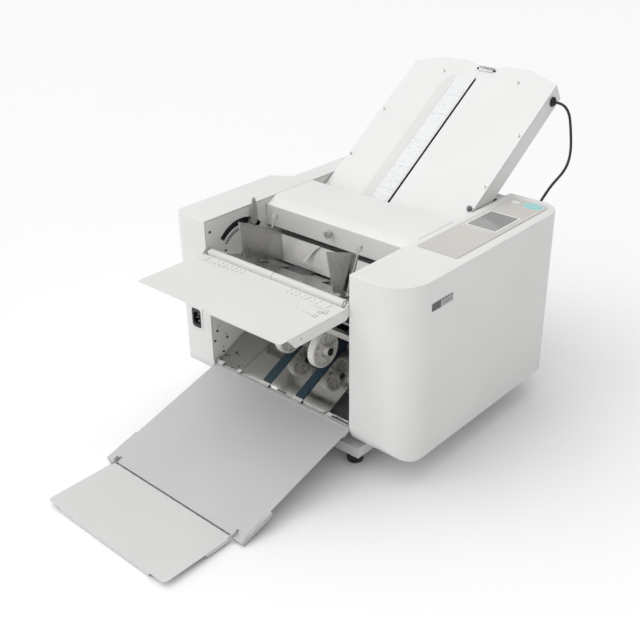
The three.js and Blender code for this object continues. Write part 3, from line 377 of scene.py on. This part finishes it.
KEPT = {
    "right_cover": ("cover", 1.2, 3),
    "left_cover": ("cover", 1.2, 3),
    "rear_cover": ("panel", 0, 0),
    "top_cover": ("cover", 1.1, 3),
    "left_side_plate": ("wall", 0.3, 1),
    "right_side_plate": ("wall", 0.3, 1),
    "front_tie_bar": ("guide", 0.6, 2),
    "base_frame": ("frame", 0.6, 2),
    "control_overlay": ("film", 0.25, 2),
    "touch_screen": ("screen", 0.2, 1),
    "start_key": ("key", 0.7, 3),
    "badge_plate": ("badge", 0.2, 2),
    "power_inlet": ("inlet", 0.5, 2),
    "feed_table": ("table", 0.45, 2),
    "feed_deck": ("guide", 0.3, 2),
    "feed_roller": ("roller", 0.6, 2),
    "stack_stop_plate": ("back_sheet", 0.3, 2),
    "pressure_lever": ("lever", 0.8, 3),
    "left_paper_guide": ("guide", 0.35, 2),
    "right_paper_guide": ("guide", 0.35, 2),
    "left_guide_knob": ("steel", 0.15, 1),
    "right_guide_knob": ("steel", 0.15, 1),
    "separator_knob": ("knob", 0.2, 1),
    "main_motor": ("frame", 0.6, 2),
    "motor_pinion": ("steel", 0.15, 1),
    "upper_fold_plate": ("cover", 0.5, 2),
    "fold_plate_left_sheet": ("sheet", 0.4, 2),
    "fold_plate_right_sheet": ("sheet", 0.4, 2),
    "fold_stopper": ("dark_steel", 0.3, 1),
    "fold_plate_catch": ("satin", 0.3, 2),
    "cable_grommet": ("rubber", 0.4, 2),
    "cable_gland": ("rubber", 0.5, 2),
    "lower_fold_plate": ("guide", 0.3, 1),
    "delivery_belt_left": ("belt", 0.4, 2),
    "delivery_belt_right": ("belt", 0.4, 2),
    "delivery_front_roller": ("steel", 0.4, 2),
    "delivery_drive_roller": ("steel", 0.4, 2),
    "delivery_deck": ("deck", 0.3, 2),
    "wheel_axle": ("dark_steel", 0.6, 2),
    "wheel_arm": ("arm", 1.0, 3),
    "arm_rod": ("steel", 0.5, 2),
    "receiving_tray": ("tray", 0.4, 2),
    "tray_extension": ("extension", 0.4, 2),
}


def cad_looks():
    for node, (look, width, segments) in KEPT.items():
        soften(node, look, width, segments)
    for number in (1, 2, 3, 4):
        soften(f"fold_roller_{number}", "roller", 0.5, 2)
        soften(f"fold_gear_{number}", "gear", 0.2, 1)
    for place in ("front_left", "front_right", "rear_left", "rear_right"):
        soften(f"foot_{place}", "rubber", 0.8, 3)


# ------------------------------------------------------------------ solids in millimetres
def piece(name, bm, look, body, place=ROW, bevel=0.0):
    """A new piece, modelled in millimetres in the frame at place, that rides on a body."""
    bmesh.ops.remove_doubles(bm, verts=bm.verts, dist=0.0005)
    bmesh.ops.recalc_face_normals(bm, faces=bm.faces)
    bmesh.ops.scale(bm, vec=(MM, MM, MM), verts=bm.verts)
    mesh = bpy.data.meshes.new(name)
    bm.to_mesh(mesh)
    bm.free()
    mesh.materials.append(LOOKS[look])
    mesh.polygons.foreach_set("use_smooth", [True] * len(mesh.polygons))
    thing = bpy.data.objects.new(name, mesh)
    bpy.context.scene.collection.objects.link(thing)
    thing.matrix_world = place
    if bevel:
        edges = thing.modifiers.new("edges", "BEVEL")
        edges.width = bevel * MM
        edges.segments = 2
        edges.limit_method = "ANGLE"
        edges.angle_limit = CORNER
        edges.harden_normals = True
    normals = thing.modifiers.new("normals", "WEIGHTED_NORMAL")
    normals.keep_sharp = True
    for edge in mesh.edges:
        edge.use_edge_sharp = False
    mesh.set_sharp_from_angle(angle=math.radians(35))
    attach(thing, body)
    return thing


def spin(bm, profile, where, axis, segments=24):
    """A turned solid: profile is [height, radius] pairs along axis from the point where."""
    turn = Vector(axis).normalized().to_track_quat("Z", "Y").to_matrix()
    where = Vector(where)
    rings = []
    for height, radius in profile:
        if radius == 0:
            rings.append([bm.verts.new(where + turn @ Vector((0, 0, height)))])
            continue
        angles = [2 * math.pi * i / segments for i in range(segments)]
        ring = [Vector((radius * math.cos(a), radius * math.sin(a), height)) for a in angles]
        rings.append([bm.verts.new(where + turn @ point) for point in ring])
    for low, high in zip(rings, rings[1:]):
        for i in range(segments):
            j = (i + 1) % segments
            if len(low) == 1:
                bm.faces.new((low[0], high[i], high[j]))
            elif len(high) == 1:
                bm.faces.new((low[i], low[j], high[0]))
            else:
                bm.faces.new((low[i], low[j], high[j], high[i]))
    if len(rings[0]) > 1:
        bm.faces.new(rings[0])
    if len(rings[-1]) > 1:
        bm.faces.new(rings[-1])


def slab(bm, outline, low, high, lay=None):
    """An outline of (u, v) points made solid from low to high; lay turns (u, v, w) into a point."""
    lay = lay or (lambda u, v, w: (u, v, w))
    bottom = [bm.verts.new(lay(u, v, low)) for u, v in outline]
    top = [bm.verts.new(lay(u, v, high)) for u, v in outline]
    bm.faces.new(bottom[::-1])
    bm.faces.new(top)
    for i in range(len(outline)):
        j = (i + 1) % len(outline)
        bm.faces.new((bottom[i], bottom[j], top[j], top[i]))


def ring_slab(bm, outer, inner, low, high, lay=None):
    """A flat frame between two outlines with the same number of points."""
    lay = lay or (lambda u, v, w: (u, v, w))
    loops = [[bm.verts.new(lay(u, v, w)) for u, v in line] for line, w in
             ((outer, low), (outer, high), (inner, high), (inner, low))]
    for a, b in zip(loops, loops[1:] + loops[:1]):
        for i in range(len(outer)):
            j = (i + 1) % len(outer)
            bm.faces.new((a[i], a[j], b[j], b[i]))


def on_x(u, v, w):
    """Lays an outline of (y, z) out along X."""
    return (w, u, v)


def on_y(u, v, w):
    """Lays an outline of (x, z) out along Y."""
    return (u, w, v)


def rounded(u0, u1, v0, v1, radius, steps=5):
    points = []
    corners = ((u1 - radius, v0 + radius, -90), (u1 - radius, v1 - radius, 0),
               (u0 + radius, v1 - radius, 90), (u0 + radius, v0 + radius, 180))
    for u, v, start in corners:
        for i in range(steps + 1):
            a = math.radians(start + 90 * i / steps)
            points.append((u + radius * math.cos(a), v + radius * math.sin(a)))
    return points


def bar(bm, x0, x1, y0, y1, low, high, lay=None):
    slab(bm, [(x0, y0), (x1, y0), (x1, y1), (x0, y1)], low, high, lay)


# ------------------------------------------------------------------ fasteners
def screw(bm, where, axis, head=3.4, washer=5.2):
    """A pan head screw with its drive socket, on a washer."""
    profile = [(0, washer), (0.7, washer), (0.7, head), (1.9, head * 0.97), (2.5, head * 0.78)]
    profile += [(2.7, head * 0.42), (1.3, head * 0.38), (1.3, 0)]
    spin(bm, profile, where, axis, 20)


def fold_plate_screws():
    bm = bmesh.new()
    for x, s in ((-87, 430), (-160, 303), (-160, 175), (88, 433), (160, 308), (160, 179)):
        screw(bm, (x, s, 0), (0, 0, 1), 2.8, 4.6)
    piece("fold_plate_screws", bm, "sheet_screw", "machine", FOLD)
    bm = bmesh.new()
    for x in (-15.5, 23.5):
        screw(bm, (x, 451, 0), (0, 0, 1), 2.2, 2.8)
    piece("catch_screws", bm, "dark_steel", "machine", FOLD)


WALL_SCREWS = ((12, 356), (48, 308), (14, 152), (7, 133), (38, 129), (27, 102))


def wall_screws():
    for side, name in ((-1, "left"), (1, "right")):
        bm = bmesh.new()
        for y, z in WALL_SCREWS:
            screw(bm, (side * INNER_WALL, y, z), (-side, 0, 0), 1.9, 2.3)
        piece(f"{name}_wall_screws", bm, "dark_steel", "machine")


def rear_screws():
    bm = bmesh.new()
    for x in (-155, 0, 155):
        for z in (62, 366):
            screw(bm, (x, 466, z), (0, 1, 0), 2.8, 4)
    for x in (-181, 205, 232):
        for z in (105, 300):
            screw(bm, (x, 475, z), (0, 1, 0), 2.8, 4)
    piece("rear_screws", bm, "steel", "machine")


def side_screws():
    """Screws low on the outside of the left cover."""
    bm = bmesh.new()
    for y in (90, 395):
        screw(bm, (-254 if y < 200 else -214, y, 108), (-1, 0, 0), 2.8, 4)
    piece("left_cover_screws", bm, "sheet_screw", "machine")


def underside():
    """Screws and stiffening ribs under the base pan, and the lid that closes its top."""
    bm = bmesh.new()
    for x in (-172, 172):
        for y in (60, 230, 405):
            screw(bm, (x, y, 30), (0, 0, -1), 3, 4.5)
    piece("base_screws", bm, "steel", "machine")
    bm = bmesh.new()
    for x in (-110, 110):
        slab(bm, rounded(x - 9, x + 9, 70, 400, 8.9), 28.2, 30)
    piece("base_ribs", bm, "frame", "machine", bevel=0.8)
    bm = bmesh.new()
    lid = [(-184.7, 7.3), (184.7, 7.3), (184.7, 459.7), (173, 459.7)]
    lid += [(173, 58), (-173, 58), (-173, 459.7), (-184.7, 459.7)]
    slab(bm, lid, 47.6, 49.2)
    piece("base_lid", bm, "frame", "machine", bevel=0.2)


# ------------------------------------------------------------------ fold plate
def scale_strip():
    """The fold length scale beside the slit: a pale film with fine rules, and beside it a darker
    warm film that paints the shade of a recessed channel.
    """
    bm = bmesh.new()
    # painted shade: a darker warm film for the recessed channel at the scale's left
    slab(bm, [(-74, 40), (-51, 40), (-51, 424), (-60, 424), (-74, 404)], 0.0, 0.16)
    piece("scale_channel_shade", bm, "scale_channel_shade", "machine", FOLD)
    bm = bmesh.new()
    slab(bm, [(-51, 40), (-9.6, 40), (-9.6, 412), (-51, 424)], 0.0, 0.24)
    piece("scale_film", bm, "scale", "machine", FOLD)
    bm = bmesh.new()
    for i in range(67):
        s = 60 + 5 * i
        length = 7 if i % 2 == 0 else 3.5
        bar(bm, -10.4 - length, -10.4, s, s + 0.6, 0.2, 0.3)
    rng = random.Random(7)
    for column, x in enumerate((-46, -36, -26)):
        for i in range(26):
            s = 66 + 13 * i + 4 * column
            if rng.random() < 0.45:
                bar(bm, x, x + rng.uniform(3, 7), s, s + 0.8, 0.2, 0.3)
    for s in (118, 176, 246, 318, 372):
        bar(bm, -50, -12, s, s + 0.5, 0.2, 0.3)
    bar(bm, -50.8, -50.2, 60, 408, 0.2, 0.3)
    piece("scale_rules", bm, "pale_ink", "machine", FOLD)
    bm = bmesh.new()
    for i in range(21):
        s = 70 + 16 * i
        bar(bm, -66, -66 + (5 if i % 5 else 9), s, s + 0.5, 0.1, 0.22)
    piece("margin_rules", bm, "faint_ink", "machine", FOLD)


def slit_lips():
    """The black wipers and liners of the stopper's slit, and the strip over its lower end."""
    bm = bmesh.new()
    for x in (-8.25, -4.25):
        bar(bm, x, x + 0.55, -38, 423, -1.3, -0.1)
    for x in (-7.97, -4.38):
        bar(bm, x, x + 0.35, 60.5, 423, -9.5, -1.4)
    bar(bm, -8.2, -3.8, -38, 60, -1.1, -0.4)
    piece("slit_lips", bm, "foam", "machine", FOLD)


def plate_bumper():
    """A rubber stud that holds a lifted top cover off the plate."""
    bm = bmesh.new()
    spin(bm, [(0, 5.2), (4, 5.2), (6.2, 4.2), (7.2, 2.2), (7.4, 0)], (160, 123, 0), (0, 0, 1), 28)
    piece("plate_bumper", bm, "arm", "machine", FOLD)


def plate_brackets():
    """Steel brackets that carry the plate on the side plates, each with its pin."""
    for side, name in ((-1, "left"), (1, "right")):
        bm = bmesh.new()
        inner, outer = side * 167.2, side * 169.6
        outline = [(60, -34), (88, -34), (88, 2), (80, 9), (68, 9), (60, 2)]
        slab(bm, outline, min(inner, outer), max(inner, outer), on_x)
        spin(bm, [(0, 4), (3, 4), (3.6, 3.2), (3.6, 0)], (inner, 74, 1), (-side, 0, 0), 20)
        piece(f"{name}_plate_bracket", bm, "steel", "machine", FOLD, 0.3)


# ------------------------------------------------------------------ table
def table_marks():
    """Paper width marks along the rear of the feed table, and a small diagram of paper sizes."""
    top, above = TABLE_TOP, TABLE_TOP + PRINT
    bm = bmesh.new()
    for side in (-1, 1):
        for i, x in enumerate((55, 66, 76, 88, 98, 109, 121, 144)):
            length = (6, 4, 6, 4, 8, 5, 4, 8)[i]
            bar(bm, side * x - 0.5, side * x + 0.5, -11 - length, -11, top, above)
            bar(bm, side * x - 3.2, side * x + 2.2, -22.8, -21.8, top, above)
    bar(bm, -149, -92, -26, -25.6, top, above)
    bar(bm, -9.2, -8.6, -20, -14, top, above)
    piece("table_marks", bm, "ink", "table")
    bm = bmesh.new()
    for x0, x1, y in ((121, 158, -31), (122, 141, -57)):
        words = round((x1 - x0) / 6)
        for i in range(words):
            x = x0 + (x1 - x0) * i / words
            bar(bm, x, x + 4.6, y, y + 0.8, top, above)
    for x, y in ((144, -61), (141, -46), (149, -43)):
        outer = rounded(x, x + 8, y, y + 8, 1)
        inner = rounded(x + 0.7, x + 7.3, y + 0.7, y + 7.3, 0.5)
        ring_slab(bm, outer, inner, top, above)
        bar(bm, x + 2, x + 6, y + 3.7, y + 4.3, top, above)
    piece("table_diagram", bm, "ink", "table")


def crossbar_ends():
    bm = bmesh.new()
    for side in (-1, 1):
        nut = [(0, 6.4), (3.6, 6.4), (4.2, 5.6), (4.2, 0)]
        spin(bm, nut, (side * 159.3, *HINGE_BAR), (side, 0, 0), 6)
        spin(bm, [(0, 3.8), (3.6, 3.8)], (side * 163.2, *HINGE_BAR), (side, 0, 0), 20)
    piece("crossbar_nuts", bm, "steel", "machine", bevel=0.25)


# ------------------------------------------------------------------ feeder
def stop_seal():
    """The dark foam strip between the stack stop and the top cover."""
    bm = bmesh.new()
    slab(bm, [(153.2, 320.2), (154.2, 320.2), (156.9, 324.0), (156.0, 324.6)], -150, 150, on_x)
    piece("stop_seal", bm, "foam", "machine", bevel=0.2)


def guide_flanges():
    bm = bmesh.new()
    slab(bm, [(68.6, 303), (69.9, 303), (90.6, 365.5), (89.3, 365.5)], 106, 115, on_x)
    piece("right_guide_flange", bm, "guide", "right_guide", bevel=0.3)
    bm = bmesh.new()
    slab(bm, [(133.2, 281), (134.4, 281), (130.6, 340.5), (129.4, 340.5)], -115, -106, on_x)
    piece("left_guide_flange", bm, "guide", "left_guide", bevel=0.3)


def lever_scale():
    """An arc of grey film with ticks, on the wall under the lever's slot."""
    def around(radius, degrees):
        a = math.radians(90 - degrees)
        return (90 + radius * math.cos(a), 289 + radius * math.sin(a))

    wall = -INNER_WALL
    bm = bmesh.new()
    outline = [around(54.5, d) for d in range(-52, 51, 6)]
    outline += [around(47.5, d) for d in range(50, -53, -6)]
    slab(bm, outline, wall, wall + 0.12, on_x)
    piece("lever_scale", bm, "badge_grey", "machine")
    bm = bmesh.new()
    for i, d in enumerate(range(-48, 48, 6)):
        inner = 48.5 if i % 4 == 0 else 50.5
        ends = [around(53.8, d - 0.5), around(53.8, d + 0.5)]
        ends += [around(inner, d + 0.5), around(inner, d - 0.5)]
        slab(bm, ends, wall + 0.1, wall + 0.18, on_x)
    piece("lever_ticks", bm, "white_ink", "machine")


def separator_face():
    """The centre screw of the separator knob."""
    bm = bmesh.new()
    profile = [(0, 3), (0.5, 3), (0.5, 1.4), (-0.4, 1.2), (-0.4, 0)]
    spin(bm, profile, (-6, 144.9, 352), (0, -1, 0), 18)
    piece("separator_screw", bm, "steel", "separator")


# ------------------------------------------------------------------ control side
def panel_marks():
    top = PANEL_TOP
    bm = bmesh.new()
    outer, inner = rounded(192.2, 255.3, 289.2, 371.8, 2.5), rounded(194.8, 252.7, 291.8, 369.2, 2)
    ring_slab(bm, outer, inner, top, top + 0.15)
    piece("screen_border", bm, "white_ink", "machine")
    bm = bmesh.new()
    outer, inner = rounded(187.5, 262.5, 281, 452.6, 8), rounded(188.4, 261.6, 281.9, 451.7, 7.2)
    ring_slab(bm, outer, inner, top, top + 0.1)
    outer, inner = rounded(197, 214, 431, 443, 2), rounded(197.6, 213.4, 431.6, 442.4, 1.5)
    ring_slab(bm, outer, inner, top, top + 0.1)
    piece("panel_lines", bm, "panel_ink", "machine")
    bm = bmesh.new()
    slab(bm, rounded(197.8, 213.2, 431.8, 442.2, 1.4), top, top + 0.07)
    piece("panel_label", bm, "panel_ink", "machine")


def badge_face():
    bm = bmesh.new()
    slab(bm, rounded(89, 122.3, 326.8, 338.2, 0.6), BADGE_FACE, BADGE_FACE + 0.18, on_x)
    piece("badge_field", bm, "badge_grey", "machine")
    bm = bmesh.new()
    outer, inner = rounded(89.4, 121.9, 327.2, 337.8, 0.5), rounded(90, 121.3, 327.8, 337.2, 0.4)
    ring_slab(bm, outer, inner, BADGE_FACE + 0.15, BADGE_FACE + 0.24, on_x)
    piece("badge_line", bm, "white_ink", "machine")


def inlet_details():
    bm = bmesh.new()
    outer = rounded(-227, -193, 149, 195, 3)
    inner = rounded(-222.7, -197.3, 151.8, 192.2, 6.4)
    ring_slab(bm, outer, inner, -1.1, 0, on_y)
    piece("inlet_surround", bm, "cover", "machine", bevel=0.3)
    bm = bmesh.new()
    for step in (-1, 0, 1):
        row = -212 if step == 0 else -208
        bar(bm, row - 1.7, row + 1.7, 172 + 7 * step - 0.8, 172 + 7 * step + 0.8, 2.6, 3.9, on_y)
    piece("inlet_pins", bm, "steel", "machine", bevel=0.2)


def key_field():
    """The turquoise field printed round the start key."""
    def ellipse(half_x, half_y):
        turns = [2 * math.pi * i / 48 for i in range(48)]
        return [(241 + half_x * math.cos(a), 438 + half_y * math.sin(a)) for a in turns]

    bm = bmesh.new()
    ring_slab(bm, ellipse(19.5, 14), ellipse(16.6, 12.6), PANEL_TOP, PANEL_TOP + 0.09)
    piece("key_field", bm, "key_field", "machine")


# ------------------------------------------------------------------ delivery and tray
def ribbed_wheel(name, x):
    """A wheel with a rounded tyre, a thin web, twelve tapered ribs a side and a tubular hub."""
    outward = 1 if x > 0 else -1
    centre = (x, *AXLE)
    bm = bmesh.new()
    tyre = [(-7.9, 30.6), (-7.4, 33.9), (-6.4, 34.8), (6.4, 34.8), (7.4, 33.9), (7.9, 30.6)]
    tyre += [(7.4, 30), (1.4, 29.6), (1.2, 12), (-1.2, 12)]
    tyre += [(-1.4, 29.6), (-7.4, 30), (-7.9, 30.6)]
    spin(bm, tyre, centre, (1, 0, 0), 64)
    far = 17.2
    hub = [(-9.5, 5.4), (-9.5, 8.6), (-8.9, 9.3)]
    hub += [(far - 0.8, 8.9), (far, 8.2), (far, 6.4), (far - 1, 5.4)]
    spin(bm, [(h * outward, r) for h, r in hub + hub[:1]], centre, (1, 0, 0), 48)
    for side in (-1, 1):
        collar = [(0.6, 13.4), (0.6, 15.8), (7.2, 15.3), (7.8, 14.7), (7.2, 13.9)]
        spin(bm, [(h * side, r) for h, r in collar + collar[:1]], centre, (1, 0, 0), 48)
        web = [(0.6, 8.8), (0.6, 13.8), (2.4, 13.8), (2.4, 8.8)]
        spin(bm, [(h * side, r) for h, r in web + web[:1]], centre, (1, 0, 0), 48)
    block = ((0, 1, 3, 2), (4, 6, 7, 5), (0, 2, 6, 4), (1, 5, 7, 3), (2, 3, 7, 6), (0, 4, 5, 1))
    for i in range(12):
        turn = Matrix.Rotation(math.radians(30 * i + 8), 3, "X")
        for side in (-1, 1):
            corners = []
            for reach, half, high in ((15, 1.5, 6.8), (30.2, 1.9, 6.4)):
                for depth in (0.5, high):
                    for swing in (-half, half):
                        point = turn @ Vector((0, swing, reach))
                        place = (x + side * depth, centre[1] + point.y, centre[2] + point.z)
                        corners.append(bm.verts.new(place))
            for face in block:
                bm.faces.new([corners[k] for k in face])
    wheel = piece(name, bm, "nylon", "wheel_set", bevel=0.35)
    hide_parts(name.replace("ribbed", "delivery"))


def wheels():
    ribbed_wheel("ribbed_wheel_left", -41)
    ribbed_wheel("ribbed_wheel_right", 41)
    bm = bmesh.new()
    clip = [(0, 5.1), (0, 7.2), (1.2, 7.2), (1.2, 5.1)]
    for side in (-1, 1):
        spin(bm, clip + clip[:1], (58.9 * side, *AXLE), (side, 0, 0), 24)
    piece("wheel_clips", bm, "dark_steel", "wheel_set")


def separator_claw():
    """The curved separator claw, flared at its root and drawn to a point."""
    bm = bmesh.new()
    spine = (  # X, Y and Z along its middle, half its width, its thickness
        (-38, 152.4, 320.4, 12, 2.0),
        (-39.6, 149.4, 317.2, 10, 2.2),
        (-42.0, 145.2, 311.8, 7.4, 2.2),
        (-43.7, 140.4, 305.6, 5.6, 2.0),
        (-44.8, 135.0, 299.8, 4.2, 1.7),
        (-45.4, 129.6, 295.0, 2.8, 1.4),
        (-45.8, 124.6, 291.6, 1.0, 0.9),
    )
    loops = []
    for i, (x, y, z, half, thick) in enumerate(spine):
        before, ahead = spine[max(i - 1, 0)], spine[min(i + 1, len(spine) - 1)]
        off = Vector((0, ahead[2] - before[2], before[1] - ahead[1])).normalized() * thick / 2
        middle = Vector((x, y, z))
        ring = ((-0.86, -1), (-1, 0), (-0.86, 1), (0.86, 1), (1, 0), (0.86, -1))
        loops.append([bm.verts.new(middle + Vector((half * u, 0, 0)) + off * v) for u, v in ring])
    for a, b in zip(loops, loops[1:]):
        for i in range(6):
            j = (i + 1) % 6
            bm.faces.new((a[i], a[j], b[j], b[i]))
    bm.faces.new(loops[0][::-1])
    bm.faces.new(loops[-1])
    claw = piece("separator_claw", bm, "claw", "machine", bevel=0.2)
    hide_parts("separator_finger")


def delivery_sill():
    """The grey sill strips between the deck and the tray, and the lugs beside them."""
    bm = bmesh.new()
    for x0, x1 in ((-165, -112), (-104, -55), (-27, 27), (55, 113), (123, 165)):
        slab(bm, [(3.5, 85.4), (9.3, 86.4), (9.3, 87.4), (3.5, 86.6)], x0, x1, on_x)
    piece("delivery_sill", bm, "tray", "machine", bevel=0.15)
    bm = bmesh.new()
    lug = [(4.6, 84.8), (5.8, 84.8), (5.8, 89.6), (11.5, 91.4), (11.5, 92.4), (4.6, 90.4)]
    for x0, x1 in ((-165, -150), (-112, -103), (-51, -29), (31, 53), (113, 125)):
        slab(bm, lug, x0, x1, on_x)
    piece("sill_lugs", bm, "cover", "machine", bevel=0.3)


def crossbar():
    """The white hinge bar: a long tube with rounded ends and a narrow groove in its middle."""
    bm = bmesh.new()
    half = [(1.1, 7.9), (158.2, 7.9), (159, 7.2)]
    profile = [(-x, r) for x, r in reversed(half)] + [(-1.0, 7.1), (1.0, 7.1)] + half
    spin(bm, profile, (0, *HINGE_BAR), (1, 0, 0), 48)
    for side in (-1, 1):
        spin(bm, [(158, 3), (169.5, 3)], (0, *HINGE_BAR), (side, 0, 0), 20)
    tube = piece("hinge_bar", bm, "crossbar", "machine")
    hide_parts("table_crossbar")


def deck_details():
    """Painted shade along a crease in the deck's sheet, drawn as a thin dark strip, a small lug,
    and its screws.
    """
    bm = bmesh.new()
    # painted shade: a thin dark strip for the shade along the crease; the bar after it is the lug
    slab(bm, [(-108, -4), (-107.2, -4), (-92.2, 92), (-93, 92)], -1.0, -0.86)
    bar(bm, -10, 12, -8, -6.8, -1.0, 1.0)
    piece("deck_crease_shade_and_lug", bm, "dark_steel", "machine", DECK)
    bm = bmesh.new()
    for x in (-88, 0, 92):
        screw(bm, (x, 120, -1), (0, 0, 1), 2.2, 2.8)
    piece("deck_screws", bm, "steel", "machine", DECK)


def tray_hinges():
    bm = bmesh.new()
    for side in (-1, 1):
        profile = [(0, 7.4), (1.4, 7.4), (2.0, 6.8), (2.0, 4.2), (3.0, 4.0), (3.4, 3.2), (3.4, 0)]
        spin(bm, profile, (side * 166.9, 0, 0), (-side, 0, 0), 28)
    piece("tray_hinge_caps", bm, "steel", "tray", TRAY)


def tray_rivets():
    bm = bmesh.new()
    for side in (-1, 1):
        for y in (-236, -262):
            rivet = [(0, 2.4), (0.6, 2.2), (1.0, 1.4), (1.2, 0)]
            spin(bm, rivet, (side * 172.9, y, -6.2), (side, 0, 0), 16)
    piece("tray_rivets", bm, "steel", "tray", TRAY)


def details():
    fold_plate_screws()
    wall_screws()
    rear_screws()
    side_screws()
    underside()
    scale_strip()
    slit_lips()
    plate_bumper()
    plate_brackets()
    table_marks()
    crossbar_ends()
    stop_seal()
    guide_flanges()
    lever_scale()
    separator_face()
    panel_marks()
    badge_face()
    key_field()
    inlet_details()
    wheels()
    separator_claw()
    delivery_sill()
    crossbar()
    deck_details()
    tray_hinges()
    tray_rivets()


# ------------------------------------------------------------------ cable
CABLE_RADIUS = 2.6


def catmull(points, steps=8):
    """A smooth line through the points, spaced by the square root of their distances."""
    ends = [points[0] * 2 - points[1], *points, points[-1] * 2 - points[-2]]
    line = []
    for a, b, c, d in zip(ends, ends[1:], ends[2:], ends[3:]):
        spans = ((a, b), (b, c), (c, d))
        t = [0.0]
        for p, q in spans:
            t.append(t[-1] + (q - p).length ** 0.5)
        for i in range(steps):
            s = t[1] + (t[2] - t[1]) * i / steps
            low = [p.lerp(q, (s - t[k]) / (t[k + 1] - t[k])) for k, (p, q) in enumerate(spans)]
            mid = [low[k].lerp(low[k + 1], (s - t[k]) / (t[k + 2] - t[k])) for k in (0, 1)]
            line.append(mid[0].lerp(mid[1], (s - t[1]) / (t[2] - t[1])))
    line.append(points[-1])
    return line


def cable():
    leave = ((FOLD @ (Vector((173.6, 418, -19)) * MM)) - ORIGIN) / MM
    falls = (  # X, then how far the cable has run in Y and Z from where it leaves the plate
        (173.6, 0, 0),
        (181, 0, -0.2),
        (188, 0, -1.5),
        (194.3, 0.3, -4.7),
        (199.7, 0.7, -10),
        (204, 1, -17),
        (207, 1.2, -25.5),
        (209.5, 1, -36),
        (212, 0.3, -47.5),
        (214.5, -1, -59.5),
        (217.5, -3.5, -72),
        (220.5, -8, -84.5),
        (223.5, -15.5, -96.5),
        (226, -27, -107.5),
        (227.5, -42, -116.5),
        (228, -60, -123.5),
        (228, -78, -130),
        (227.7, -94.5, -138.5),
        (227, -108, -148),
    )
    route = [Vector((x, leave.y + y, leave.z + z)) for x, y, z in falls]
    route += [Vector((226, 491.5, 371.2)), Vector((226, 483.9, 369))]
    line = [at(*p) for p in catmull(route)]
    curve = bpy.data.curves.new("motor_cable", "CURVE")
    curve.dimensions = "3D"
    curve.bevel_depth = CABLE_RADIUS * MM
    curve.bevel_resolution = 5
    curve.use_fill_caps = True
    spline = curve.splines.new("POLY")
    spline.points.add(len(line) - 1)
    for point, place in zip(spline.points, line):
        point.co = (*place, 1)
    curve.materials.append(LOOKS["jacket"])
    thing = bpy.data.objects.new("motor_cable", curve)
    bpy.context.scene.collection.objects.link(thing)
    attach(thing, "machine")
    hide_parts("plate_cable")


# ------------------------------------------------------------------ floor and light
ROOM_LIGHT = 0.31
BOX_LIGHT = 1.33


def soft_panel(name, place, aim, size, watts):
    light = bpy.data.lights.new(name, "AREA")
    light.size = size
    light.energy = watts
    panel = bpy.data.objects.new(name, light)
    panel.location = place
    panel.rotation_mode = "QUATERNION"
    panel.rotation_quaternion = (aim - place).to_track_quat("-Z", "Y")
    bpy.context.scene.collection.objects.link(panel)


def stage_and_light():
    floor = bpy.data.meshes.new("floor")
    reach = 30
    corners = [(-reach, -reach, 0), (reach, -reach, 0), (reach, reach, 0), (-reach, reach, 0)]
    floor.from_pydata(corners, [], [(0, 1, 2, 3)])
    thing = bpy.data.objects.new("floor", floor)
    bpy.context.scene.collection.objects.link(thing)
    graph = Graph("pale_floor")
    drift = graph.noise(300, 2)
    graph.feed("Base Color", graph.between(drift, (0.945, 0.945, 0.945), (0.96, 0.96, 0.96)))
    graph.set(Roughness=0.8)
    floor.materials.append(graph.material)

    world = bpy.data.worlds.new("soft_sky")
    world.use_nodes = True
    nodes, links = world.node_tree.nodes, world.node_tree.links
    # a wide soft box overhead, a little to the left and the front, in an even pale room
    towards = nodes.new("ShaderNodeTexCoord")
    facing = nodes.new("ShaderNodeVectorMath")
    facing.operation = "DOT_PRODUCT"
    facing.inputs[1].default_value = Vector((-0.42, -0.26, 0.87)).normalized()
    links.new(towards.outputs["Generated"], facing.inputs[0])
    glow = nodes.new("ShaderNodeMapRange")
    glow.interpolation_type = "SMOOTHSTEP"
    glow.inputs["From Min"].default_value = 0.1
    glow.inputs["From Max"].default_value = 1.0
    glow.inputs["To Min"].default_value = ROOM_LIGHT
    glow.inputs["To Max"].default_value = BOX_LIGHT
    links.new(facing.outputs["Value"], glow.inputs["Value"])
    links.new(glow.outputs[0], nodes["Background"].inputs["Strength"])
    nodes["Background"].inputs["Color"].default_value = (0.99, 0.995, 1.0, 1)
    bpy.context.scene.world = world

    sky = bpy.data.lights.new("key_light", "SUN")
    sky.energy = 0.45
    sky.angle = math.radians(40)
    sky.color = (1, 0.99, 0.975)
    lamp = bpy.data.objects.new("key_light", sky)
    lamp.rotation_mode = "QUATERNION"
    lamp.rotation_quaternion = Vector((0.45, 0.28, -0.9)).to_track_quat("-Z", "Y")
    bpy.context.scene.collection.objects.link(lamp)

    soft_panel("front_fill", at(-500, -1700, 620), at(-60, 60, 200), 1.0, 0.8)
    soft_panel("side_fill", at(1150, -950, 1000), at(-60, 40, 230), 0.9, 2.2)
    bpy.context.scene.view_settings.view_transform = "Standard"


camera()
cable()
cad_looks()
details()
stage_and_light()
